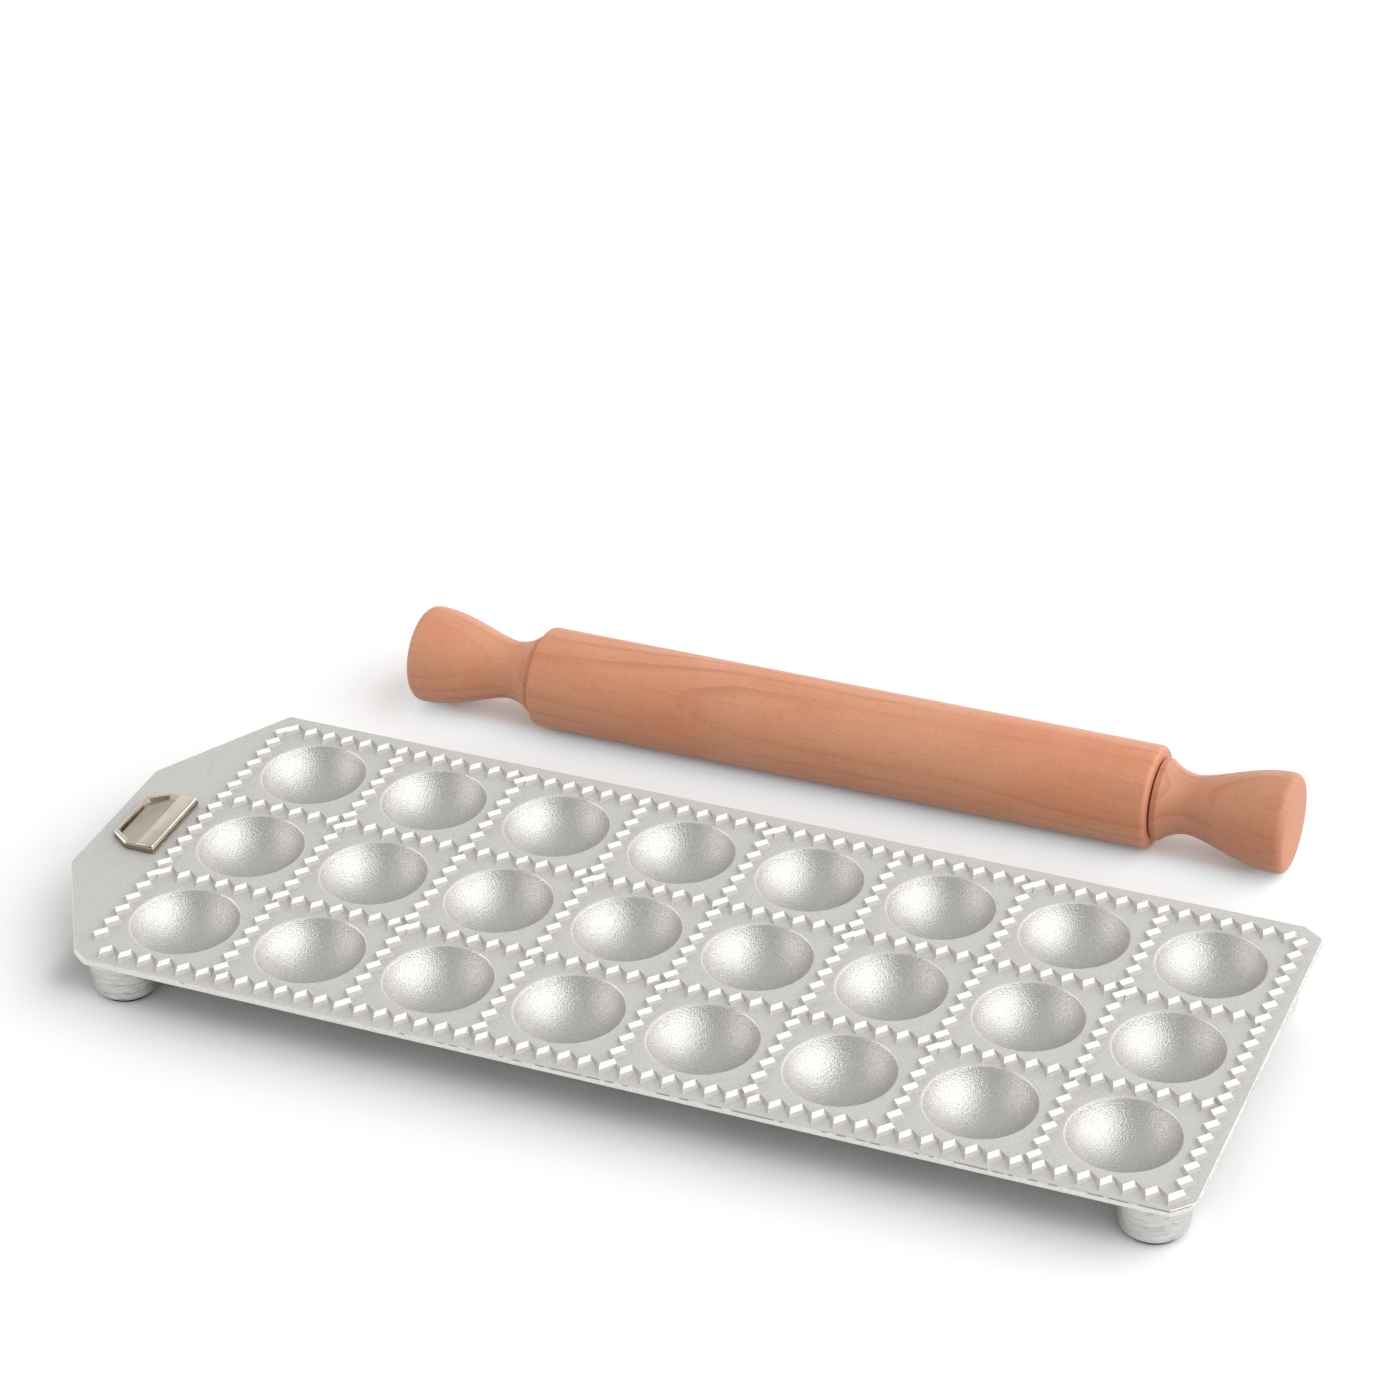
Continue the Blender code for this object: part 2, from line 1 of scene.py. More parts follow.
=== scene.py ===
"""Ravioli mould with its rolling pin, dressed for the studio.

A cast aluminium tray of 24 pockets framed by zigzag ridges stands on four padded feet, and a turned wooden pin lies
behind it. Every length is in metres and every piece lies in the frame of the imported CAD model, with +Z up.
"""

from __future__ import annotations

import json
import logging
import math
from collections.abc import Iterable, Sequence
from dataclasses import dataclass, field
from enum import Enum

import bmesh
import bpy
from mathutils import Matrix, Vector, noise

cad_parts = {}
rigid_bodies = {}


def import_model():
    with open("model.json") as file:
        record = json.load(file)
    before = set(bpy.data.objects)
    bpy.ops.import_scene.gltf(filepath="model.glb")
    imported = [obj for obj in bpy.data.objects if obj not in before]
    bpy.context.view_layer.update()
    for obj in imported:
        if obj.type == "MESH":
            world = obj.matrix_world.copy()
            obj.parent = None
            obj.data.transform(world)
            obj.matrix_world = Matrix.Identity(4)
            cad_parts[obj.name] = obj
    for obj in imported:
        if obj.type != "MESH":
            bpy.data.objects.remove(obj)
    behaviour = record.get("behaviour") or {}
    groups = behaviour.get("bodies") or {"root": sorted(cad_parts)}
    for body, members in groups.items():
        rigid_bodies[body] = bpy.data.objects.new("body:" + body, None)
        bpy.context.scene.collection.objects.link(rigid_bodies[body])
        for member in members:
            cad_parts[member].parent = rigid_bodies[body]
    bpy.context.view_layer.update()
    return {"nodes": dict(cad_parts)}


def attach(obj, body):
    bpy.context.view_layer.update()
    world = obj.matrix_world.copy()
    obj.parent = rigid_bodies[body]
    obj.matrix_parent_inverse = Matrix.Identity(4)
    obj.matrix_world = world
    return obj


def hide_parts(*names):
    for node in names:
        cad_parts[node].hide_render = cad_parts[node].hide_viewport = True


LOG = logging.getLogger("ravioli_mould")
MM = 0.001
HAIR = 0.01 * MM

Colour = tuple[float, float, float]
Point2 = tuple[float, float]
Point3 = tuple[float, float, float]
Profile = list[Point2]
Socket = bpy.types.NodeSocket


class Body(Enum):
    """The CAD bodies that pieces ride on."""

    MOULD = "mould"
    HANDLES = "pin_handles"
    BARREL = "pin_barrel"


class Slot(Enum):
    """The record's material slots."""

    CASTING = "casting"
    BADGE = "badge"
    RUBBER = "rubber"
    WOOD = "wood"
    STEEL = "steel"
    NYLON = "nylon"


class Foot(Enum):
    """The four feet by the corner that they stand at, as (side in X, side in Y)."""

    FRONT_LEFT = (-1, -1)
    FRONT_RIGHT = (1, -1)
    BACK_LEFT = (-1, 1)
    BACK_RIGHT = (1, 1)

    @property
    def label(self) -> str:
        """The corner's name as the CAD nodes spell it."""
        return self.name.lower()


class PinEnd(Enum):
    """The two ends of the rolling pin, by the direction that they point along X."""

    LEFT = -1
    RIGHT = 1

    @property
    def label(self) -> str:
        """The end's name as the CAD nodes spell it."""
        return self.name.lower()


class BadgeFace(Enum):
    """The parts of the badge's skin, in the order of its material slots."""

    BRIGHT = 0
    SUNK = 1
    # the bevels are painted dark, a painted reflection of a dark surround
    BEVEL = 2


class CastingFace(Enum):
    """The kinds of face on the casting, by material slot."""

    PLATE = 0
    POCKET = 1
    MILLED = 2
    FOOT = 3
    EDGE = 4
    SEAM = 5
    FLANK = 6


class Crest(Enum):
    """The corner of a tooth that the ridge's crest leaves from."""

    BACK = "B"
    FRONT = "C"


class Join(Enum):
    """What is done with a piece and the forms that meet it."""

    UNION = "UNION"
    DIFFERENCE = "DIFFERENCE"


# ---------------------------------------------------------------- finishes


def toned(colour: Colour, share: float) -> Colour:
    """A colour made darker or brighter, up to white.

    Args:
        colour: The colour.
        share: The factor.

    Returns:
        The new colour.
    """
    return tuple(min(1.0, value * share) for value in colour)


class NodeGraph:
    """A node tree with short calls for the nodes that the finishes and the room share."""

    def __init__(self, tree: bpy.types.NodeTree) -> None:
        """Work on a node tree."""
        self.tree = tree

    def node(self, kind: str, **settings: object) -> bpy.types.Node:
        """Add a node.

        Args:
            kind: The node type without its ShaderNode prefix.
            **settings: Attributes to set on the node.

        Returns:
            The new node.
        """
        node = self.tree.nodes.new("ShaderNode" + kind)
        for key, value in settings.items():
            setattr(node, key, value)
        return node

    def feed(self, socket: Socket, value: object) -> None:
        """Link a socket to another one, or set its plain value.

        Args:
            socket: The input to feed.
            value: An output socket, a number or a tuple.
        """
        if isinstance(value, bpy.types.NodeSocket):
            self.tree.links.new(value, socket)
        else:
            socket.default_value = value

    def math(self, operation: str, first: object, second: object = 0.0, third: object = 0.0) -> Socket:
        """Combine numbers.

        Args:
            operation: The Math node's operation.
            first: The first operand.
            second: The second operand.
            third: The third operand, for the operations that have one.

        Returns:
            The result.
        """
        node = self.node("Math", operation=operation)
        for socket, value in zip(node.inputs, (first, second, third)):
            self.feed(socket, value)
        return node.outputs[0]

    def spread(self, value: Socket, low: float, high: float, to_low: object = 0.0, to_high: object = 1.0) -> Socket:
        """Map a range of numbers to another one and hold what lies outside.

        Args:
            value: The number.
            low: The start of its range.
            high: The end of its range.
            to_low: What the start becomes.
            to_high: What the end becomes.

        Returns:
            The mapped number.
        """
        node = self.node("MapRange", interpolation_type="SMOOTHSTEP")
        for socket, item in zip(node.inputs, (value, low, high, to_low, to_high)):
            self.feed(socket, item)
        return node.outputs[0]


class FinishGraph(NodeGraph):
    """The node tree of one finish, with short calls for the patterns that the finishes share."""

    def __init__(self, name: str, **shader: float) -> None:
        """Start a material with a Principled shader.

        Args:
            name: The material's name.
            **shader: Plain values for the shader's sockets, with underscores for spaces.
        """
        self.material = bpy.data.materials.new(name)
        self.material.use_nodes = True
        super().__init__(self.material.node_tree)
        self.shader = self.tree.nodes["Principled BSDF"]
        for key, value in shader.items():
            self.shader.inputs[key.replace("_", " ").title().replace("Ior", "IOR")].default_value = value

    def place(self, scale: Sequence[float] = (1, 1, 1), shift: Sequence[float] = (0, 0, 0)) -> Socket:
        """The point of the piece in its own metres, moved and then scaled.

        Args:
            scale: The factor along each axis.
            shift: What is added along each axis before the scaling.

        Returns:
            The vector.
        """
        moved = self.node("VectorMath", operation="ADD")
        self.feed(moved.inputs[0], self.node("TexCoord").outputs["Object"])
        self.feed(moved.inputs[1], tuple(shift))
        scaled = self.node("VectorMath", operation="MULTIPLY")
        self.feed(scaled.inputs[0], moved.outputs[0])
        self.feed(scaled.inputs[1], tuple(scale))
        return scaled.outputs[0]

    def grain(self, vector: Socket, detail: float = 2.0, roughness: float = 0.5, distortion: float = 0.0) -> Socket:
        """A noise pattern whose cells are about one unit of the vector wide.

        Args:
            vector: Where the pattern is read.
            detail: How many finer layers are added.
            roughness: How strong the finer layers are.
            distortion: How far the pattern is pulled about.

        Returns:
            The pattern, from 0 to 1 with its middle at 0.5.
        """
        node = self.node("TexNoise")
        self.feed(node.inputs["Vector"], vector)
        for key, value in {"Scale": 1.0, "Detail": detail, "Roughness": roughness, "Distortion": distortion}.items():
            self.feed(node.inputs[key], value)
        return node.outputs["Fac"]

    def blend(self, share: object, first: object, second: object) -> Socket:
        """Mix two colours.

        Args:
            share: The share of the second colour.
            first: The first colour, as a tuple or a socket.
            second: The second colour, as a tuple or a socket.

        Returns:
            The mixed colour.
        """
        node = self.node("Mix", data_type="RGBA")
        self.feed(node.inputs[0], share)
        for socket, colour in ((node.inputs[6], first), (node.inputs[7], second)):
            self.feed(socket, (*colour, 1.0) if isinstance(colour, tuple) else colour)
        return node.outputs[2]

    def bump(self, height: Socket, depth: float, below: Socket | None = None) -> Socket:
        """Turn a height pattern into a shading normal.

        Args:
            height: The pattern.
            depth: How deep a step of 1 in the pattern is.
            below: The normal of a coarser pattern that this one lies on.

        Returns:
            The normal.
        """
        node = self.node("Bump")
        self.feed(node.inputs["Strength"], 1.0)
        self.feed(node.inputs["Distance"], depth)
        self.feed(node.inputs["Height"], height)
        if below is not None:
            self.feed(node.inputs["Normal"], below)
        return node.outputs[0]

    def finish(
        self, colour: Socket, roughness: Socket | None = None, normal: Socket | None = None
    ) -> bpy.types.Material:
        """Connect what varies over the surface.

        Args:
            colour: The base colour.
            roughness: The roughness, where it varies.
            normal: The shading normal, where there is one.

        Returns:
            The material.
        """
        self.feed(self.shader.inputs["Base Color"], colour)
        if roughness is not None:
            self.feed(self.shader.inputs["Roughness"], roughness)
        if normal is not None:
            self.feed(self.shader.inputs["Normal"], normal)
        return self.material


@dataclass(frozen=True)
class BlastedAluminium:
    """Cast aluminium after blasting: a fine even sparkle over soft casting waves and faint stains.

    Attributes:
        name: The material's name.
        colour: The metal's colour.
        stain: The colour of the faint stains.
        roughness: The middle of the roughness.
        grain: The width of the blasted grain.
        tooth: The depth of the grain.
        wave: The depth of the soft casting waves.
        metallic: The share of the light that it returns as metal does. The rest is scattered by the blasted skin.
        stain_scale: How many stains there are to a metre.
        wave_scale: How many casting waves there are to a metre.
        painted_sparkle: The share that the painted glints of the grain have in the colour.
        painted_sparkle_range: How dark and how bright the painted glints are beside the metal's colour.
        uneven: How far the roughness goes up and down.
    """

    name: str
    colour: Colour = (0.635, 0.622, 0.592)
    stain: Colour = (0.585, 0.560, 0.515)
    roughness: float = 0.55
    grain: float = 0.42 * MM
    tooth: float = 0.075 * MM
    wave: float = 0.06 * MM
    metallic: float = 0.4
    stain_scale: float = 90.0
    wave_scale: float = 260.0
    painted_sparkle: float = 0.42
    painted_sparkle_range: Point2 = (0.86, 1.10)
    uneven: float = 0.07

    def make(self) -> bpy.types.Material:
        """Build the finish.

        Returns:
            The material.
        """
        graph = FinishGraph(self.name, metallic=self.metallic)
        fine = graph.grain(graph.place((1 / self.grain,) * 3), detail=1.0)
        speck = graph.grain(graph.place((0.7 / self.grain,) * 3, (0.3, 0.1, 0.2)), detail=1.0)
        slow = graph.grain(graph.place((self.stain_scale,) * 3), detail=3.0)
        wave = graph.grain(graph.place((self.wave_scale,) * 3, (0.7, 0.2, 0.4)), detail=1.0)
        stained = graph.blend(graph.spread(slow, 0.52, 0.74, 0.0, 0.55), self.colour, self.stain)
        # painted sparkle: random dark and bright specks in the colour, the grain's own tone and painted glints
        dark, bright = (toned(self.colour, share) for share in self.painted_sparkle_range)
        painted_sparkle = graph.blend(graph.spread(speck, 0.30, 0.70), dark, bright)
        colour = graph.blend(self.painted_sparkle, stained, painted_sparkle)
        rough = graph.spread(fine, 0.25, 0.75, self.roughness - self.uneven, self.roughness + self.uneven)
        normal = graph.bump(fine, self.tooth, graph.bump(wave, self.wave))
        return graph.finish(colour, rough, normal)


@dataclass(frozen=True)
class FootAluminium:
    """The as-cast metal of the feet: satin skin with flow marks that run round the foot and a few dark pits.

    Attributes:
        name: The material's name.
        colour: The metal's colour.
        mark: The colour of the flow marks.
        roughness: The middle of the roughness.
        flow_scale: How many flow marks there are to a metre, along each axis.
        pit_scale: How many pits there are to a metre, along each axis.
        grain_scale: How many grains there are to a metre.
        flow_depth: The depth of the flow marks.
        grain_depth: The depth of the grain.
        painted_crest_highlight: How much brighter than the metal's colour the painted highlight on the crests between
            the marks is.
    """

    name: str
    colour: Colour = (0.66, 0.655, 0.64)
    mark: Colour = (0.27, 0.26, 0.245)
    roughness: float = 0.38
    flow_scale: Point3 = (190.0, 190.0, 820.0)
    pit_scale: Point3 = (520.0, 520.0, 900.0)
    grain_scale: float = 1900.0
    flow_depth: float = 0.50 * MM
    grain_depth: float = 0.05 * MM
    painted_crest_highlight: float = 1.22

    def make(self) -> bpy.types.Material:
        """Build the finish.

        Returns:
            The material.
        """
        graph = FinishGraph(self.name, metallic=1.0)
        flow = graph.grain(graph.place(self.flow_scale), detail=4.0, roughness=0.62, distortion=0.8)
        pits = graph.grain(graph.place(self.pit_scale, (0.4, 0.9, 0.1)), detail=2.0)
        fine = graph.grain(graph.place((self.grain_scale,) * 3), detail=2.0)
        flowed = graph.spread(flow, 0.54, 0.68, 0.0, 0.40)
        marks = graph.math("MAXIMUM", flowed, graph.spread(pits, 0.70, 0.74, 0.0, 0.8))
        colour = graph.blend(marks, self.colour, self.mark)
        # painted highlight: the crests between the flow marks are made brighter
        colour = graph.blend(graph.spread(flow, 0.42, 0.34, 0.0, 0.9), colour, toned(self.colour, self.painted_crest_highlight))
        rough = graph.spread(flow, 0.3, 0.7, self.roughness - 0.08, self.roughness + 0.10)
        normal = graph.bump(fine, self.grain_depth, graph.bump(flow, self.flow_depth))
        return graph.finish(colour, rough, normal)


@dataclass(frozen=True)
class MilledAluminium:
    """The bright tops of the teeth, fly-cut flat, with short scratches along the cutter's path.

    Attributes:
        name: The material's name.
        colour: The metal's colour.
        scratch: The colour in the scratches.
        roughness: The middle of the roughness.
        cutter_angle: The angle of the cutter's path, in degrees.
        scratch_scale: How many scratches there are to a metre, along each axis.
        scratch_depth: The depth of the scratches.
    """

    name: str
    colour: Colour = (0.985, 0.98, 0.965)
    scratch: Colour = (0.84, 0.83, 0.81)
    roughness: float = 0.30
    cutter_angle: float = -38.0
    scratch_scale: Point3 = (420.0, 5200.0, 400.0)
    scratch_depth: float = 0.010 * MM

    def make(self) -> bpy.types.Material:
        """Build the finish.

        Returns:
            The material.
        """
        graph = FinishGraph(self.name, metallic=0.1)
        turned = graph.node("VectorRotate", rotation_type="Z_AXIS")
        graph.feed(turned.inputs["Vector"], graph.place())
        graph.feed(turned.inputs["Angle"], math.radians(self.cutter_angle))
        stretched = graph.node("VectorMath", operation="MULTIPLY")
        graph.feed(stretched.inputs[0], turned.outputs[0])
        graph.feed(stretched.inputs[1], self.scratch_scale)
        lines = graph.grain(stretched.outputs[0], detail=3.0, roughness=0.7)
        colour = graph.blend(graph.spread(lines, 0.62, 0.76, 0.0, 0.6), self.colour, self.scratch)
        rough = graph.spread(lines, 0.3, 0.7, self.roughness - 0.08, self.roughness + 0.08)
        return graph.finish(colour, rough, graph.bump(lines, self.scratch_depth))


@dataclass(frozen=True)
class BadgeNickel:
    """The badge's warm satin nickel, brushed along its length.

    Attributes:
        name: The material's name.
        colour: The metal's colour.
        shade: The colour where the plating is thinner.
        roughness: The middle of the roughness.
        brush_scale: How many brush marks there are to a metre, along each axis.
        cloud_scale: How many thin patches there are to a metre.
        brush_depth: The depth of the brush marks.
    """

    name: str
    colour: Colour = (0.75, 0.67, 0.585)
    shade: Colour = (0.63, 0.555, 0.475)
    roughness: float = 0.13
    brush_scale: Point3 = (5200.0, 260.0, 900.0)
    cloud_scale: float = 240.0
    brush_depth: float = 0.006 * MM

    def make(self) -> bpy.types.Material:
        """Build the finish.

        Returns:
            The material.
        """
        graph = FinishGraph(self.name, metallic=1.0)
        brushed = graph.grain(graph.place(self.brush_scale), detail=3.0, roughness=0.6)
        cloud = graph.grain(graph.place((self.cloud_scale,) * 3), detail=2.0)
        colour = graph.blend(graph.spread(cloud, 0.40, 0.72, 0.0, 0.5), self.colour, self.shade)
        rough = graph.spread(brushed, 0.3, 0.7, self.roughness - 0.05, self.roughness + 0.07)
        return graph.finish(colour, rough, graph.bump(brushed, self.brush_depth))


@dataclass(frozen=True)
class PadRubber:
    """Dull black rubber with a moulded grain and some dust.

    Attributes:
        name: The material's name.
        colour: The rubber's colour.
        dust: The colour of the dust.
        grain_scale: How many grains there are to a metre.
        dust_scale: How many patches of dust there are to a metre.
        grain_depth: The depth of the grain.
    """

    name: str
    colour: Colour = (0.022, 0.022, 0.024)
    dust: Colour = (0.085, 0.082, 0.078)
    grain_scale: float = 2200.0
    dust_scale: float = 330.0
    grain_depth: float = 0.02 * MM

    def make(self) -> bpy.types.Material:
        """Build the finish.

        Returns:
            The material.
        """
        graph = FinishGraph(self.name, specular_ior_level=0.3)
        fine = graph.grain(graph.place((self.grain_scale,) * 3), detail=3.0)
        cloud = graph.grain(graph.place((self.dust_scale,) * 3), detail=3.0)
        colour = graph.blend(graph.spread(cloud, 0.5, 0.75, 0.0, 0.6), self.colour, self.dust)
        rough = graph.spread(fine, 0.3, 0.7, 0.66, 0.84)
        return graph.finish(colour, rough, graph.bump(fine, self.grain_depth))


@dataclass(frozen=True)
class TurnedBeech:
    """Turned beech, sanded and bare: growth rings cut by the turned surface, short flecks and faint lathe marks.

    Attributes:
        name: The material's name.
        pith: Where the middle of the tree lies from the pin's axis, along Y and Z.
        shift: What is added to the place along the axis, so that each piece has its own figure.
        light: The colour of the early wood.
        dark: The colour of the late wood.
        blush: The colour of the warm patches.
        end_grain: The colour of the wood cut across the grain.
        ring: The width of a growth ring.
        tone: How bright the piece is beside the others.
        bend: How far the rings are bent.
        bend_scale: How many bends there are to a metre, along each axis.
        sway: How far the whole figure wanders.
        sway_scale: How often it wanders in a metre.
        faint_scale: How often the rings grow faint in a metre, along each axis.
        fibre_scale: How many fibres there are to a metre, along each axis.
        fleck_scale: How many flecks there are to a metre, along each axis.
        lathe_scale: How many lathe marks there are to a metre, along each axis.
        patch_scale: How many warm patches there are to a metre, along each axis.
        depth: The depth of the fibres and lathe marks.
    """

    name: str
    pith: Point2
    shift: float = 0.0
    light: Colour = (0.680, 0.313, 0.180)
    dark: Colour = (0.505, 0.190, 0.103)
    blush: Colour = (0.668, 0.271, 0.145)
    end_grain: Colour = (0.585, 0.232, 0.130)
    ring: float = 4.6 * MM
    tone: float = 1.0
    bend: float = 5.0 * MM
    bend_scale: Point3 = (16.0, 34.0, 34.0)
    sway: float = 26.0 * MM
    sway_scale: float = 5.5
    faint_scale: Point3 = (12.0, 70.0, 70.0)
    fibre_scale: Point3 = (70.0, 1900.0, 1900.0)
    fleck_scale: Point3 = (620.0, 1700.0, 1700.0)
    lathe_scale: Point3 = (1500.0, 30.0, 30.0)
    patch_scale: Point3 = (26.0, 60.0, 60.0)
    depth: float = 0.018 * MM

    def make(self) -> bpy.types.Material:
        """Build the finish.

        Returns:
            The material.
        """
        graph = FinishGraph(self.name, specular_ior_level=0.5)
        shift = (self.shift, -self.pith[0], -self.pith[1])
        bend = graph.grain(graph.place(self.bend_scale, shift), detail=2.0)
        sway = graph.grain(graph.place((self.sway_scale,) * 3, shift), detail=1.0)
        across = graph.node("VectorMath", operation="LENGTH")
        graph.feed(across.inputs[0], graph.place((0.0, 1.0, 1.0), shift))
        reach = graph.math("MULTIPLY_ADD", graph.math("SUBTRACT", bend, 0.5), self.bend, across.outputs["Value"])
        reach = graph.math("MULTIPLY_ADD", graph.math("SUBTRACT", sway, 0.5), self.sway, reach)
        turn = graph.math("FRACT", graph.math("DIVIDE", reach, self.ring))
        late = graph.math("MULTIPLY", graph.spread(turn, 0.60, 0.955), graph.spread(turn, 1.0, 0.965))
        fibre = graph.grain(graph.place(self.fibre_scale, shift), detail=3.0, roughness=0.6)
        fleck = graph.grain(graph.place(self.fleck_scale, shift), detail=1.0)
        lathe = graph.grain(graph.place(self.lathe_scale, shift), detail=2.0)
        patch = graph.grain(graph.place(self.patch_scale, shift), detail=2.0)
        light, dark, blush = (toned(colour, self.tone) for colour in (self.light, self.dark, self.blush))
        base = graph.blend(graph.spread(patch, 0.38, 0.68), light, blush)
        faint = graph.spread(graph.grain(graph.place(self.faint_scale, shift), detail=1.0), 0.35, 0.65, 0.20, 0.62)
        ringed = graph.blend(graph.math("MULTIPLY", late, faint), base, dark)
        streak = toned(dark, 0.90)
        fibred = graph.blend(graph.spread(fibre, 0.52, 0.74, 0.0, 0.30), ringed, streak)
        flecked = graph.blend(graph.spread(fleck, 0.52, 0.74, 0.0, 0.26), fibred, streak)
        turned = graph.blend(graph.spread(lathe, 0.46, 0.66, 0.0, 0.20), flecked, toned(light, 1.08))
        facing = graph.node("SeparateXYZ")
        graph.feed(facing.inputs[0], graph.node("TexCoord").outputs["Normal"])
        across_grain = graph.spread(graph.math("ABSOLUTE", facing.outputs["X"]), 0.72, 0.96, 0.0, 0.64)
        colour = graph.blend(across_grain, turned, self.end_grain)
        rough = graph.spread(fibre, 0.3, 0.7, 0.42, 0.54)
        height = graph.math("MULTIPLY_ADD", lathe, 0.5, fibre)
        return graph.finish(colour, rough, graph.bump(height, self.depth))


@dataclass(frozen=True)
class DrawnSteel:
    """The pin's drawn steel rod, with die lines along it.

    Attributes:
        name: The material's name.
        colour: The metal's colour.
        line_scale: How many die lines there are to a metre, along each axis.
        line_depth: The depth of the die lines.
    """

    name: str
    colour: Colour = (0.62, 0.615, 0.60)
    line_scale: Point3 = (40.0, 3600.0, 3600.0)
    line_depth: float = 0.01 * MM

    def make(self) -> bpy.types.Material:
        """Build the finish.

        Returns:
            The material.
        """
        graph = FinishGraph(self.name, metallic=1.0)
        lines = graph.grain(graph.place(self.line_scale), detail=2.0)
        colour = graph.blend(graph.spread(lines, 0.5, 0.75, 0.0, 0.7), self.colour, toned(self.colour, 0.78))
        return graph.finish(colour, graph.spread(lines, 0.3, 0.7, 0.24, 0.40), graph.bump(lines, self.line_depth))


@dataclass(frozen=True)
class BushNylon:
    """The natural nylon of the bushes, slightly mottled.

    Attributes:
        name: The material's name.
        colour: The plastic's colour.
        cloud_scale: How many darker patches there are to a metre.
        grain_scale: How many grains there are to a metre.
        grain_depth: The depth of the grain.
    """

    name: str
    colour: Colour = (0.78, 0.765, 0.70)
    cloud_scale: float = 420.0
    grain_scale: float = 2600.0
    grain_depth: float = 0.01 * MM

    def make(self) -> bpy.types.Material:
        """Build the finish.

        Returns:
            The material.
        """
        graph = FinishGraph(self.name, specular_ior_level=0.5)
        cloud = graph.grain(graph.place((self.cloud_scale,) * 3), detail=3.0)
        fine = graph.grain(graph.place((self.grain_scale,) * 3), detail=2.0)
        colour = graph.blend(graph.spread(cloud, 0.4, 0.7), self.colour, toned(self.colour, 0.88))
        return graph.finish(colour, graph.spread(fine, 0.3, 0.7, 0.38, 0.52), graph.bump(fine, self.grain_depth))


